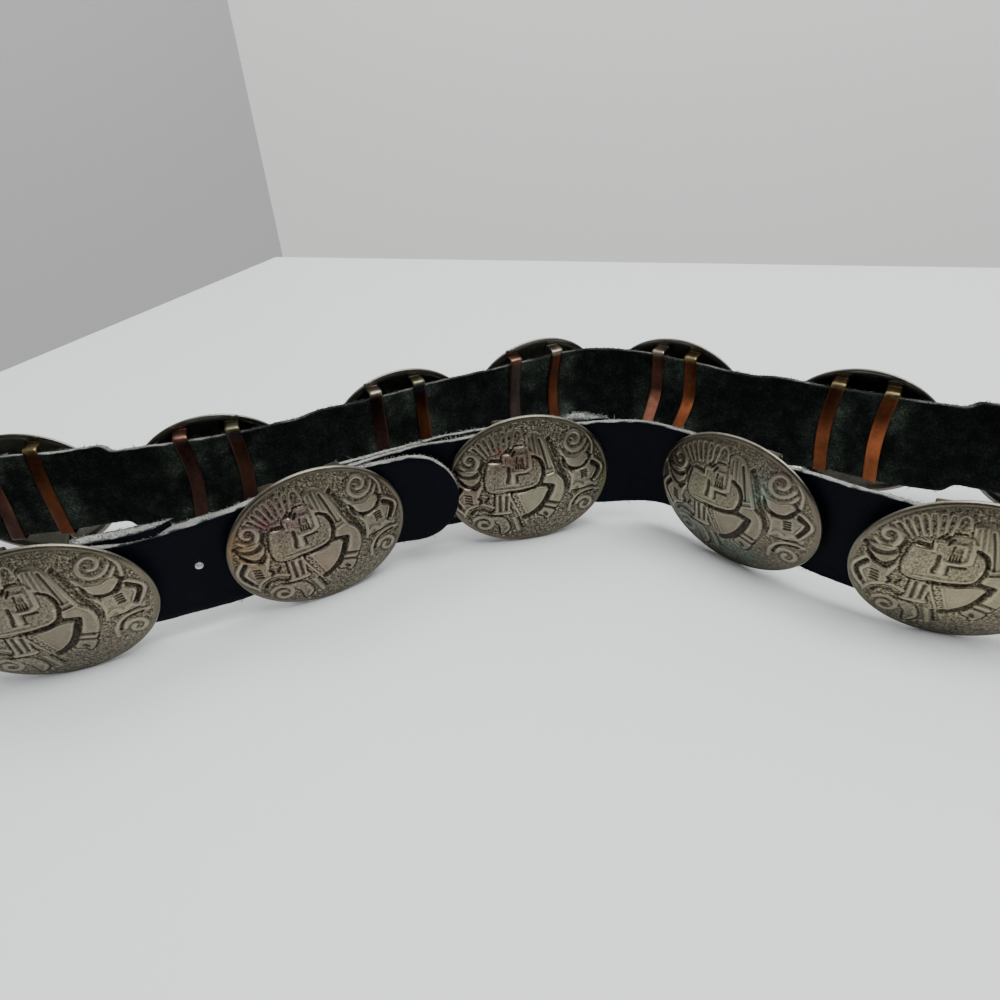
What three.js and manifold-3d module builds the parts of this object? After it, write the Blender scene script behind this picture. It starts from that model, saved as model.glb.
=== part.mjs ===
// Concho belt: a leather strap standing on its edge in a closed loop, with domed oval
// conchos that slide on it by two copper loops each. Millimetres, +Z up, floor at z = 0.
import * as THREE from 'three';
import { mergeVertices } from 'three/addons/utils/BufferGeometryUtils.js';
import Module from 'manifold-3d';

const wasm = await Module();
wasm.setup();

// Concho plate: a thin domed oval, cast with raised relief
const conchoWidth = 56.8;
const conchoHeight = 48.8;
const plateThickness = 0.9;
const domeDepth = 5;
const reliefHeight = 0.6;
const reliefRoot = 0.6;

// Copper loops on the back of each concho
const loopSpacing = 17;
const buckleLoopSpacing = 21;
const loopWidth = 4.8;
const loopMetal = 0.7;
const loopFoot = 1.3;
const loopRoomAbove = 1.9;
const fullLoopRoomAbove = 1.1;
const loopRoomBelow = 0.9;
const loopClearance = 0.3;
const loopSeat = 0.7;

// Leather straps
const strapWidth = 32;
const mainThickness = 1.8;
const tailThickness = 2.4;
const strapLift = 1.9;
const strapBehindRim = 2.1;
const rimClearance = 0.5;
const rimTurn = 0.2;
const plyGap = 0.3;
const cutEnd = 0.6;
const skiveLength = 9;

// Depths behind the rim plane where two plies share a loop
const splicePlyDepth = 6.2;
const returnPlyDepth = 5.8;

// Tail: its tip, its punched holes and where it lies beside the conchos
const tipLength = 15;
const tipBlunt = 0.12;
const holeDiameter = 3;
const holePitch = 25.4;
const firstHole = 40.4;
const holeRow = -0.8;
const postDiameter = 2.4;
const postPast = 0.8;
const tailStart = 24;
const tailSplay = -8;
const tailStandOff = 0.9;
const spliceEnd = 37;
const returnEnd = 29;
const tipPast = 4;
const tipClearance = 1;
const foldSlack = 1.2;
const foldSteps = 6;
const tipSteps = 7;

// Facets
const rimSides = 20;
const holeSides = 12;
const degreesPerStep = 15;
const stepsAtLeast = 2;
const weldDistance = 1e-4;
const punchReach = 3;

// Places of the conchos around the loop, in the order that the strap passes them. x and y are
// shares of the concho width. heading is the way the strap runs there, lean tips the top outwards
// and roll turns the oval in its own plane, all in degrees.
const places = [
  { name: 'buckle_concho', x: -1.016, y: -0.395, heading: 25.3, lean: 0, roll: 3 },
  { name: 'concho_01', x: 0.173, y: 0.041, heading: 9, lean: -2.3, roll: -2.4 },
  { name: 'concho_02', x: 1.331, y: -0.325, heading: -48.1, lean: 4.1, roll: 1.1 },
  { name: 'concho_03', x: 2.215, y: -1.008, heading: -21.7, lean: 3.2, roll: 0 },
  { name: 'concho_04', x: 3.324, y: -1.043, heading: 27.7, lean: 0, roll: 0 },
  { name: 'concho_05', x: 3.315, y: -0.151, heading: 150, lean: 0, roll: 0 },
  { name: 'concho_06', x: 2.308, y: 0.34, heading: 147.3, lean: 0, roll: 0 },
  { name: 'concho_07', x: 1.278, y: 0.971, heading: 144.6, lean: 0, roll: 0 },
  { name: 'concho_08', x: 0.313, y: 1.138, heading: 201, lean: -1, roll: 0 },
  { name: 'concho_09', x: -0.621, y: 0.745, heading: 204.1, lean: 2.2, roll: 0 },
  { name: 'concho_10', x: -1.755, y: 0.298, heading: 195.6, lean: -1, roll: 0 },
  { name: 'concho_11', x: -2.898, y: 0.208, heading: 184.4, lean: 0, roll: 0 },
  { name: 'concho_12', x: -3.336, y: -0.612, heading: 304.9, lean: 0, roll: 0 },
  { name: 'concho_13', x: -2.271, y: -0.892, heading: 16.2, lean: 3.4, roll: 0 },
];

// Main raised motifs of the relief, a row each: its outline in shares of the half width and half
// height of the concho, going round anticlockwise.
const motifs = [
  { name: 'left volute', corners: ring(-0.74, 0.4, 0.13, 6) },
  { name: 'right volute', corners: ring(0.5, 0.58, 0.15, 6) },
  { name: 'lower left volute', corners: ring(-0.57, -0.62, 0.14, 6) },
  { name: 'lower right volute', corners: ring(0.66, -0.46, 0.13, 6) },
  { name: 'plumes', corners: [[-0.6, 0.46], [-0.12, 0.6], [-0.1, 0.82], [-0.32, 0.82], [-0.52, 0.7]] },
  { name: 'stepped face', corners: [[-0.25, 0.07], [-0.17, 0.07], [-0.17, 0.27], [0, 0.27], [0, 0.48], [-0.07, 0.48],
    [-0.07, 0.35], [-0.25, 0.35]] },
  { name: 'tall feather', corners: [[0.06, 0.36], [0.17, 0.2], [0.29, 0.22], [0.21, 0.62], [0.1, 0.74],
    [-0.01, 0.7]] },
  { name: 'arm', corners: [[0.14, 0.04], [0.28, -0.04], [0.2, -0.36], [0.34, -0.34], [0.42, -0.06], [0.32, 0.15],
    [0.17, 0.14]] },
  { name: 'apron', corners: [[-0.13, -0.05], [-0.07, -0.44], [0.12, -0.28], [0.19, -0.05]] },
  { name: 'leg', corners: [[-0.42, -0.08], [-0.45, -0.42], [-0.27, -0.42], [-0.2, -0.08]] },
  { name: 'left flower', corners: [[-0.8, 0.06], [-0.8, -0.2], [-0.6, -0.26], [-0.56, 0.08]] },
  { name: 'right bowl', corners: [[0.41, 0.34], [0.54, 0.2], [0.67, 0.26], [0.71, 0.42]] },
  { name: 'right flower', corners: [[0.52, 0.1], [0.54, -0.14], [0.76, -0.1], [0.88, 0.08], [0.74, 0.14]] },
];

function ring(x, y, reach, sides) {
  const corners = [];
  for (let i = 0; i < sides; i += 1) {
    const turn = (i / sides) * Math.PI * 2;
    corners.push([x + reach * Math.cos(turn), y + reach * (conchoWidth / conchoHeight) * Math.sin(turn)]);
  }
  return corners;
}

// Materials
const agedSilver = new THREE.MeshStandardMaterial({ color: 0x7d7668, roughness: 0.42, metalness: 0.9 });
const blackLeather = new THREE.MeshStandardMaterial({ color: 0x14151c, roughness: 0.5, metalness: 0 });

const halfWidth = conchoWidth / 2;
const halfHeight = conchoHeight / 2;
const radians = THREE.MathUtils.degToRad;

// Closed triangle lists into solids and back
function toSolid(geometry) {
  const bare = geometry.clone();
  bare.deleteAttribute('normal');
  bare.deleteAttribute('uv');
  const merged = mergeVertices(bare, weldDistance);
  return new wasm.Manifold(new wasm.Mesh({
    numProp: 3,
    vertProperties: new Float32Array(merged.attributes.position.array),
    triVerts: new Uint32Array(merged.index.array),
  }));
}

function toGeometry(solid) {
  const mesh = solid.getMesh();
  const geometry = new THREE.BufferGeometry();
  geometry.setAttribute('position', new THREE.BufferAttribute(new Float32Array(mesh.vertProperties), 3));
  geometry.setIndex(new THREE.BufferAttribute(new Uint32Array(mesh.triVerts), 1));
  geometry.computeVertexNormals();
  return geometry;
}

function indexed(points, faces) {
  const geometry = new THREE.BufferGeometry();
  geometry.setAttribute('position', new THREE.Float32BufferAttribute(points.flat(), 3));
  geometry.setIndex(faces.flat());
  geometry.computeVertexNormals();
  return geometry;
}

// Height of the dome's inner face above the rim plane. In a concho's own frame x runs along the
// strap, y is up and z points out of its face.
function domeInside(x, y) {
  const reach = (x / halfWidth) ** 2 + (y / halfHeight) ** 2;
  return domeDepth * Math.max(0, 1 - reach);
}

function ovalPoint(share, side, height) {
  const turn = ((side + 0.5) / rimSides) * Math.PI * 2;
  const x = halfWidth * share * Math.cos(turn);
  const y = halfHeight * share * Math.sin(turn);
  return [x, y, domeInside(x, y) + height];
}

// Domed plate: rings of points on the face and on the back, joined round the rim
function domedPlate() {
  const faceShares = [0.55, 1];
  const backShares = [1, 0.5];
  const points = [[0, 0, domeInside(0, 0) + plateThickness]];
  faceShares.forEach((share) => {
    for (let side = 0; side < rimSides; side += 1) points.push(ovalPoint(share, side, plateThickness));
  });
  backShares.forEach((share) => {
    for (let side = 0; side < rimSides; side += 1) points.push(ovalPoint(share, side, 0));
  });
  points.push([0, 0, domeInside(0, 0)]);
  const faces = [];
  const rings = faceShares.length + backShares.length;
  for (let side = 0; side < rimSides; side += 1) {
    const next = (side + 1) % rimSides;
    faces.push([0, 1 + side, 1 + next]);
    for (let step = 0; step < rings - 1; step += 1) {
      const inner = 1 + step * rimSides;
      const outer = inner + rimSides;
      faces.push([inner + side, outer + side, outer + next], [inner + side, outer + next, inner + next]);
    }
    const last = 1 + (rings - 1) * rimSides;
    faces.push([last + side, points.length - 1, last + next]);
  }
  return toSolid(indexed(points, faces));
}

// A raised motif: its outline stands on the dome and its top follows the dome
function raisedMotif(corners) {
  const flat = corners.map(([x, y]) => new THREE.Vector2(x * halfWidth, y * halfHeight));
  if (THREE.ShapeUtils.isClockWise(flat)) flat.reverse();
  const top = flat.map((p) => [p.x, p.y, domeInside(p.x, p.y) + plateThickness + reliefHeight]);
  const root = flat.map((p) => [p.x, p.y, domeInside(p.x, p.y) + plateThickness - reliefRoot]);
  const count = flat.length;
  const faces = [];
  THREE.ShapeUtils.triangulateShape(flat, []).forEach(([a, b, c]) => {
    faces.push([a, b, c], [count + a, count + c, count + b]);
  });
  for (let i = 0; i < count; i += 1) {
    const next = (i + 1) % count;
    faces.push([i, count + i, count + next], [i, count + next, next]);
  }
  return toSolid(indexed([...top, ...root], faces));
}

// A copper loop: a strip soldered to the inside of the plate above and below the strap
function copperLoop(across, depth, roomAbove) {
  const outerSide = Math.abs(across) + loopWidth / 2;
  const above = strapLift + strapWidth / 2 + roomAbove;
  const below = strapLift - strapWidth / 2 - loopRoomBelow;
  const back = -(depth + loopClearance);
  const seat = (height) => domeInside(outerSide, height) + plateThickness * loopSeat;
  const footTop = above + loopMetal + loopFoot;
  const footLow = below - loopMetal - loopFoot;
  const outline = [
    [seat(above), above],
    [back, above],
    [back, below],
    [seat(below), below],
    [seat(footLow), footLow],
    [seat(footLow) - loopMetal, footLow],
    [seat(below) - loopMetal, below - loopMetal],
    [back - loopMetal, below - loopMetal],
    [back - loopMetal, above + loopMetal],
    [seat(above) - loopMetal, above + loopMetal],
    [seat(footTop) - loopMetal, footTop],
    [seat(footTop), footTop],
  ];
  const shape = new THREE.Shape(outline.map(([out, up]) => new THREE.Vector2(out, up)));
  const strip = new THREE.ExtrudeGeometry(shape, { depth: loopWidth, bevelEnabled: false });
  // The outline's out and up become z and y, and the strip's width runs along x
  const turn = new THREE.Matrix4().makeBasis(
    new THREE.Vector3(0, 0, 1), new THREE.Vector3(0, 1, 0), new THREE.Vector3(-1, 0, 0));
  strip.applyMatrix4(turn);
  strip.translate(across + loopWidth / 2, 0, 0);
  return toSolid(strip);
}

// The post that holds the tail by one of its holes: from the plate to a depth behind the rim
function bucklePost(hole, depth) {
  const front = domeInside(hole.x, hole.y) + plateThickness / 2;
  const reach = front + depth;
  const post = new THREE.CylinderGeometry(postDiameter / 2, postDiameter / 2, reach, holeSides);
  post.rotateX(Math.PI / 2);
  post.translate(hole.x, hole.y, front - reach / 2);
  return toSolid(post);
}

function conchoSolid(plate, depth, spacing, roomAbove) {
  return plate.add(copperLoop(-spacing / 2, depth, roomAbove)).add(copperLoop(spacing / 2, depth, roomAbove));
}

// A concho's own axes in the room: along the strap, up the oval, and out of its face
function axesOf(place, roll = 0) {
  const heading = radians(place.heading);
  const along = new THREE.Vector3(Math.cos(heading), Math.sin(heading), 0);
  const outward = new THREE.Vector3(Math.sin(heading), -Math.cos(heading), 0);
  const upright = new THREE.Vector3(0, 0, 1);
  const lean = radians(place.lean);
  const up = upright.clone().multiplyScalar(Math.cos(lean)).addScaledVector(outward, Math.sin(lean));
  const out = outward.clone().multiplyScalar(Math.cos(lean)).addScaledVector(upright, -Math.sin(lean));
  const turn = new THREE.Matrix4().makeBasis(along, up, out);
  return turn.multiply(new THREE.Matrix4().makeRotationZ(radians(roll)));
}

function centreOf(place) {
  return new THREE.Vector3(place.x * conchoWidth, place.y * conchoWidth, halfHeight);
}

// Stands a concho at its place, its lowest point on the floor
function standConcho(place, solid) {
  const mesh = new THREE.Mesh(toGeometry(solid), agedSilver);
  mesh.name = place.name;
  mesh.quaternion.setFromRotationMatrix(axesOf(place, place.roll));
  mesh.position.copy(centreOf(place));
  mesh.updateMatrixWorld();
  mesh.position.z -= new THREE.Box3().setFromObject(mesh, true).min.z;
  return mesh;
}

// A stop of a strap: a plan point, the way it runs, its lean, and the straight length each side
function stopAt(place, { along = 0, behind = 0, turn = 0, hold = 0 }) {
  const at = new THREE.Vector3(along, strapLift, -behind).applyMatrix4(axesOf(place)).add(centreOf(place));
  const lean = place.lean * Math.cos(radians(turn));
  return { name: place.name, x: at.x, y: at.y, heading: place.heading + turn, lean, hold };
}

function ahead(stop, distance) {
  const heading = radians(stop.heading);
  return { ...stop, x: stop.x + Math.cos(heading) * distance, y: stop.y + Math.sin(heading) * distance };
}

function turnBetween(from, to) {
  const turn = (to - from) % 360;
  return turn > 180 ? turn - 360 : turn < -180 ? turn + 360 : turn;
}

// Runs a strap through its stops: straight beside each stop, a smooth cubic from one to the next
function runThrough(stops) {
  const line = [];
  let length = 0;
  const push = (point) => {
    const last = line[line.length - 1];
    if (last) length += Math.hypot(point.x - last.x, point.y - last.y);
    line.push({ ...point, length });
  };
  stops.forEach((stop, index) => {
    if (index > 0) {
      const from = ahead(stops[index - 1], stops[index - 1].hold);
      const to = ahead(stop, -stop.hold);
      const turn = turnBetween(from.heading, to.heading);
      const chord = Math.hypot(to.x - from.x, to.y - from.y);
      const pull = chord / Math.cos(radians(turn) / 4) ** 2;
      const steps = Math.max(stepsAtLeast, Math.ceil(Math.abs(turn) / degreesPerStep));
      for (let step = 1; step <= steps; step += 1) push(hermite(from, to, turn, pull, step / steps));
    } else {
      push(ahead(stop, -stop.hold));
    }
    if (stop.hold > 0) push(ahead(stop, stop.hold));
  });
  return line;
}

function hermite(from, to, turn, pull, t) {
  const a = radians(from.heading);
  const b = radians(to.heading);
  const h0 = 2 * t ** 3 - 3 * t ** 2 + 1;
  const h1 = (t ** 3 - 2 * t ** 2 + t) * pull;
  const h2 = -2 * t ** 3 + 3 * t ** 2;
  const h3 = (t ** 3 - t ** 2) * pull;
  const slope = (p, q, ca, cb) => (6 * t ** 2 - 6 * t) * (p - q)
    + (3 * t ** 2 - 4 * t + 1) * pull * ca + (3 * t ** 2 - 2 * t) * pull * cb;
  const dx = slope(from.x, to.x, Math.cos(a), Math.cos(b));
  const dy = slope(from.y, to.y, Math.sin(a), Math.sin(b));
  return {
    x: h0 * from.x + h1 * Math.cos(a) + h2 * to.x + h3 * Math.cos(b),
    y: h0 * from.y + h1 * Math.sin(a) + h2 * to.y + h3 * Math.sin(b),
    heading: THREE.MathUtils.radToDeg(Math.atan2(dy, dx)),
    lean: from.lean + (to.lean - from.lean) * h2,
  };
}

// Distance along a run of the middle of a stop that has straight length each side
function middleOf(line, stop) {
  return line.findLast((point) => point.name === stop.name).length - stop.hold;
}

// The point of a run at a distance along it
function pointOn(line, distance) {
  const next = line.findIndex((point) => point.length >= distance);
  const b = line[next];
  const a = line[next - 1];
  const t = (distance - a.length) / (b.length - a.length);
  return {
    x: a.x + (b.x - a.x) * t,
    y: a.y + (b.y - a.y) * t,
    heading: a.heading + turnBetween(a.heading, b.heading) * t,
    lean: a.lean + (b.lean - a.lean) * t,
    hold: 0,
  };
}

// A stop beside another run, shifted inwards, away from the conchos' faces
function beside(line, distance, inward) {
  const at = pointOn(line, distance);
  const heading = radians(at.heading);
  return { ...at, x: at.x - Math.sin(heading) * inward, y: at.y + Math.cos(heading) * inward };
}

// A strap's solid along its run. thickness and height give both at a distance along the run.
function strapGeometry(line, thickness, height) {
  const middle = halfHeight + strapLift;
  const points = [];
  line.forEach((point) => {
    const heading = radians(point.heading);
    const lean = radians(point.lean);
    const out = new THREE.Vector3(Math.sin(heading), -Math.cos(heading), 0);
    const up = new THREE.Vector3(0, 0, Math.cos(lean)).addScaledVector(out, Math.sin(lean));
    const face = out.clone().multiplyScalar(Math.cos(lean)).add(new THREE.Vector3(0, 0, -Math.sin(lean)));
    const half = thickness(point.length) / 2;
    const tall = height(point.length) / 2;
    [[1, -1], [1, 1], [-1, 1], [-1, -1]].forEach(([side, level]) => {
      const corner = new THREE.Vector3(point.x, point.y, middle);
      corner.addScaledVector(face, side * half).addScaledVector(up, level * tall);
      points.push(corner.toArray());
    });
  });
  const faces = [[0, 1, 2], [0, 2, 3]];
  for (let i = 0; i < line.length - 1; i += 1) {
    const here = i * 4;
    const there = here + 4;
    for (let side = 0; side < 4; side += 1) {
      const next = (side + 1) % 4;
      faces.push([here + side, there + side, there + next], [here + side, there + next, here + next]);
    }
  }
  const last = (line.length - 1) * 4;
  faces.push([last, last + 2, last + 1], [last, last + 3, last + 2]);
  return indexed(points, faces);
}

const [buckle, first] = places;
const splice = places[places.length - 1];
const holdLength = loopSpacing / 2 + loopWidth / 2;
const buckleHold = buckleLoopSpacing / 2 + loopWidth / 2;

// Tail strap: from the splice behind the last concho, behind the buckle concho, and over the
// edge of the next concho to its rounded tip
const tailBehind = strapBehindRim + tailThickness / 2;
const tipAlong = -halfWidth + tipPast;
const tipInFront = domeInside(tipAlong, 0) + plateThickness + tipClearance + tailThickness / 2;
const tailAtSplice = stopAt(splice, { behind: tailBehind, hold: holdLength });
const tailBody = runThrough([
  stopAt(splice, { along: -tailStart, behind: tailBehind + tailStandOff, turn: tailSplay }),
  tailAtSplice,
  stopAt(buckle, { behind: tailBehind, hold: buckleHold }),
  stopAt(first, { along: tipAlong - tipLength, behind: -tipInFront }),
]);
const tipStart = tailBody[tailBody.length - 1];
const tailLine = [...tailBody];
for (let step = 1; step <= tipSteps; step += 1) {
  const gone = Math.sin((step / tipSteps) * Math.PI / 2) * tipLength;
  tailLine.push({ ...ahead(tipStart, gone), length: tipStart.length + gone });
}

function tailHeight(length) {
  const past = Math.max(0, length - tipStart.length) / tipLength;
  return strapWidth * Math.max(tipBlunt, Math.sqrt(Math.max(0, 1 - past ** 2)));
}

// The punched holes in a row along the tail. The middle one shows, and the last is on the post.
const spliceMiddle = middleOf(tailBody, tailAtSplice);
const holes = [-1, 0, 1].map((number) => pointOn(tailLine, spliceMiddle + firstHole + number * holePitch));
const holeLevel = halfHeight + strapLift + holeRow;

function punchHoles(strap) {
  let solid = strap;
  holes.forEach((hole) => {
    const punch = new THREE.CylinderGeometry(
      holeDiameter / 2, holeDiameter / 2, tailThickness * punchReach, holeSides);
    punch.rotateZ(radians(hole.heading));
    punch.translate(hole.x, hole.y, holeLevel);
    solid = solid.subtract(toSolid(punch));
  });
  return solid;
}

// Main strap: from its skived end behind the next concho, back to the buckle concho, round the
// loop there, and then all the way round to its other end behind the tail
const mainBehind = strapBehindRim + mainThickness / 2;
const bucklePly = strapBehindRim + tailThickness + plyGap;
const foldInner = bucklePly + mainThickness / 2;
const foldOuter = foldInner + mainThickness + loopMetal + loopClearance * 2;
const foldAlong = buckleLoopSpacing / 2 - loopWidth / 2 - foldSlack;
const returnBehind = returnPlyDepth + mainThickness / 2;
const loopStop = (place) => stopAt(place, { behind: mainBehind, hold: holdLength });
const around = places.slice(1, -1);
const firstRun = runThrough([loopStop(first), ...edgeStops(first, around[1]), loopStop(around[1])]);
const reversed = (stop) => ({ ...stop, heading: stop.heading + 180, lean: -stop.lean });
const endBeside = (mainThickness + cutEnd) / 2 + plyGap;

const foldCentre = (foldInner + foldOuter) / 2;
const foldRadius = (foldOuter - foldInner) / 2;
const foldStops = [];
for (let step = 1; step < foldSteps; step += 1) {
  const turn = 180 + (step / foldSteps) * 180;
  const swing = radians(turn - 180);
  foldStops.push(stopAt(buckle, {
    along: foldAlong - foldRadius * Math.sin(swing),
    behind: foldCentre + foldRadius * Math.cos(swing),
    turn,
  }));
}

const returnLine = runThrough([
  reversed(beside(firstRun, holdLength + returnEnd, endBeside)),
  reversed(stopAt(first, { behind: returnBehind, hold: holdLength })),
  { ...stopAt(buckle, { along: foldAlong, behind: foldOuter, turn: 180 }) },
]);
const loopStops = around.flatMap((place, i) => [loopStop(place), ...edgeStops(place, around[i + 1])]);
const loopLine = runThrough([
  stopAt(buckle, { along: foldAlong, behind: foldInner }),
  rimStop(first, -1, 0),
  ...loopStops,
  stopAt(splice, { behind: splicePlyDepth + mainThickness / 2, hold: holdLength }),
  beside(tailBody, spliceMiddle + spliceEnd, (tailThickness + cutEnd) / 2 + plyGap),
]);
const mainLine = joinLines([returnLine, foldStops, loopLine]);

// Where the strap bends towards the conchos' faces, it bends round the back of their rims
function edgeStops(from, to) {
  const turn = to ? turnBetween(from.heading, to.heading) : 0;
  return turn < 0 ? [rimStop(from, 1, turn * rimTurn), rimStop(to, -1, -turn * rimTurn)] : [];
}

function rimStop(place, side, turn) {
  return stopAt(place, { along: side * halfWidth, behind: rimClearance + mainThickness / 2, turn });
}

function joinLines(lines) {
  const line = [];
  let length = 0;
  lines.flat().forEach((point) => {
    const last = line[line.length - 1];
    if (last) length += Math.hypot(point.x - last.x, point.y - last.y);
    line.push({ ...point, length });
  });
  return line;
}

function mainThicknessAt(length) {
  const fromEnd = Math.min(length, mainLine[mainLine.length - 1].length - length);
  const share = Math.min(1, fromEnd / skiveLength);
  return cutEnd + (mainThickness - cutEnd) * share;
}

// The belt
const belt = new THREE.Group();

const mainStrap = new THREE.Mesh(strapGeometry(mainLine, mainThicknessAt, () => strapWidth), blackLeather);
mainStrap.name = 'main_strap';
belt.add(mainStrap);

const tailSolid = toSolid(strapGeometry(tailLine, () => tailThickness, tailHeight));
const tailStrap = new THREE.Mesh(toGeometry(punchHoles(tailSolid)), blackLeather);
tailStrap.name = 'tail_strap';
belt.add(tailStrap);

let plate = domedPlate();
motifs.forEach((motif) => {
  plate = plate.add(raisedMotif(motif.corners));
});
const commonConcho = conchoSolid(plate, strapBehindRim + mainThickness, loopSpacing, loopRoomAbove);
const conchoByName = {
  buckle_concho: conchoSolid(plate, bucklePly + mainThickness, buckleLoopSpacing, fullLoopRoomAbove),
  concho_01: conchoSolid(plate, returnPlyDepth + mainThickness, loopSpacing, fullLoopRoomAbove),
  concho_13: conchoSolid(plate, splicePlyDepth + mainThickness, loopSpacing, fullLoopRoomAbove),
};
places.forEach((place) => {
  belt.add(standConcho(place, conchoByName[place.name] ?? commonConcho));
});

const buckleMesh = belt.getObjectByName(buckle.name);
const postHole = holes[holes.length - 1];
const postAt = buckleMesh.worldToLocal(new THREE.Vector3(postHole.x, postHole.y, holeLevel));
const post = bucklePost(postAt, strapBehindRim + tailThickness + postPast);
buckleMesh.geometry = toGeometry(conchoByName[buckle.name].add(post));

// The middle of the belt's floor outline is the origin
const box = new THREE.Box3().setFromObject(belt, true);
belt.position.set(-(box.min.x + box.max.x) / 2, -(box.min.y + box.max.y) / 2, 0);

export default belt;
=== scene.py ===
import math

import bpy
import numpy as np
from mathutils import Matrix, Vector


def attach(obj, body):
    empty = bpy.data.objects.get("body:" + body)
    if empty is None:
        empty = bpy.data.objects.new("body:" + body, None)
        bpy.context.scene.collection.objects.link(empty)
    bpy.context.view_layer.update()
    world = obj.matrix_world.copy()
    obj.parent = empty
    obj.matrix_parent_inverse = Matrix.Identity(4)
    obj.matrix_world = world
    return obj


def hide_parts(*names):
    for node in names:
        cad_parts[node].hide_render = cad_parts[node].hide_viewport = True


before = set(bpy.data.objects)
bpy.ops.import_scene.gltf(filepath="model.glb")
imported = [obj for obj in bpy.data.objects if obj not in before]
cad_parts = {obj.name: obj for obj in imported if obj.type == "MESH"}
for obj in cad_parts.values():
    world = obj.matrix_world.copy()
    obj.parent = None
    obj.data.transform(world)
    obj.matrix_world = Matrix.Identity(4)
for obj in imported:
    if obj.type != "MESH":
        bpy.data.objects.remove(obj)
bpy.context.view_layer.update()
MM = 0.001

# Conchos
CONCHO_WIDTH = 56.8
CONCHO_HEIGHT = 48.8
HALF_WIDTH = CONCHO_WIDTH / 2
HALF_HEIGHT = CONCHO_HEIGHT / 2
HALF_SIZES = (HALF_WIDTH, HALF_HEIGHT)
PLATE_THICKNESS = 0.9
DOME_DEPTH = 5.0
RIM_ROUNDING = 0.42
BACK_LIP = 0.935
STIPPLE_HEIGHT = 0.08
STIPPLE_PAINT = 0.38
WAVE_HEIGHT = 0.04
BORDER_HEIGHT = 0.12
BORDER_SHADE = 0.35
WEAR_SHARE = 0.45
FIELD_SHARE = 0.8
LINE_SHARE = 0.55
RIDGE_WIDTH_SHARE = 0.8

# Copper loops
LOOP_SPACING = 17.0
BUCKLE_LOOP_SPACING = 21.0
LOOP_WIDTH = 4.8
LOOP_METAL = 0.7
LOOP_FOOT = 1.3
LOOP_ROOM_ABOVE = 1.9
FULL_LOOP_ROOM_ABOVE = 1.1
LOOP_ROOM_BELOW = 0.9
LOOP_CLEARANCE = 0.3
LOOP_SEAT = 0.7
LOOP_BEND = 1.1
LOOP_SEED = 11
LOOP_SEED_STEP = 7

# Straps
STRAP_WIDTH = 32.0
MAIN_THICKNESS = 1.8
TAIL_THICKNESS = 2.4
STRAP_LIFT = 1.9
STRAP_MIDDLE = HALF_HEIGHT + STRAP_LIFT
STRAP_BEHIND_RIM = 2.1
RIM_CLEARANCE = 0.5
RIM_TURN = 0.2
PLY_GAP = 0.3
CUT_END = 0.6
SKIVE_LENGTH = 9.0
SPLICE_PLY_DEPTH = 6.2
RETURN_PLY_DEPTH = 5.8
TIP_LENGTH = 15.0
TIP_STEPS = 19
HOLE_DIAMETER = 3.0
HOLE_PITCH = 25.4
FIRST_HOLE = 40.4
HOLE_ROW = -0.8
HOLE_SHRUNK = 0.82
HOLE_SIDES = 32
POST_DIAMETER = 2.4
POST_PAST = 0.8
TAIL_START = 24.0
TAIL_SPLAY = -8.0
TAIL_STAND_OFF = 0.9
SPLICE_END = 37.0
RETURN_END = 29.0
TIP_PAST = 4.0
TIP_CLEARANCE = 1.0
FOLD_SLACK = 1.2
RING_SPACING = 1.0
FRAY_SWELL = 3.8
FRAY_FILL = 1.1
SPLICE_SWELL = 2.2
TAIL_SWELL = 2.4
MAIN_SEED = 101
TAIL_SEED = 151

# Where the plan's origin lies in the part's frame
PLAN_SHIFT = (-3.893, -1.371)

# Camera, from the photo: where it stands, how far it looks down, its roll and its lens
CAMERA_PLAN = (0.0, -210.16)
CAMERA_HEIGHT = 163.8
CAMERA_PITCH = 34.76
CAMERA_ROLL = -3.56
CAMERA_LENS = 26.676
CAMERA_SENSOR = 36.0
PHOTO_SIDE = 1000

# The table's corner and a place on each of its edges, in the photo's pixels, and sizes of the room
TABLE_CORNER = (276, 257)
TABLE_LEFT = (125, 320)
TABLE_BACK = (875, 266)
TABLE_REACH = 1500
WALL_GAP = 20
WALL_FAR = 2.4
WALL_REACH = 3
WALL_DROP = 400
WALL_RISE = 1600

# Places of the conchos, in the order that the strap passes them: x and y in concho widths,
# the strap's heading, lean and roll in degrees, relief wear from 0 to 1, and cells across
PLACES = [
    ("buckle_concho", -1.016, -0.395, 25.3, 0, 3, 0.1, 200),
    ("concho_01", 0.173, 0.041, 9, -2.3, -2.4, 0.0, 200),
    ("concho_02", 1.331, -0.325, -48.1, 4.1, 1.1, 0.5, 200),
    ("concho_03", 2.215, -1.008, -21.7, 3.2, 0, 0.2, 164),
    ("concho_04", 3.324, -1.043, 27.7, 0, 0, 0.2, 94),
    ("concho_05", 3.315, -0.151, 150, 0, 0, 0.3, 94),
    ("concho_06", 2.308, 0.34, 147.3, 0, 0, 0.1, 94),
    ("concho_07", 1.278, 0.971, 144.6, 0, 0, 0.4, 94),
    ("concho_08", 0.313, 1.138, 201, -1, 0, 0.2, 94),
    ("concho_09", -0.621, 0.745, 204.1, 2.2, 0, 0.3, 94),
    ("concho_10", -1.755, 0.298, 195.6, -1, 0, 0.1, 94),
    ("concho_11", -2.898, 0.208, 184.4, 0, 0, 0.3, 94),
    ("concho_12", -3.336, -0.612, 304.9, 0, 0, 0.2, 94),
    ("concho_13", -2.271, -0.892, 16.2, 3.4, 0, 0.2, 164),
]
PLACE_FIELDS = ("name", "x", "y", "heading", "lean", "roll", "wear", "cells")
places = [dict(zip(PLACE_FIELDS, row)) for row in PLACES]


# Plain helpers
def ease(t):
    t = np.clip(t, 0, 1)
    return t * t * (3 - 2 * t)


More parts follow.
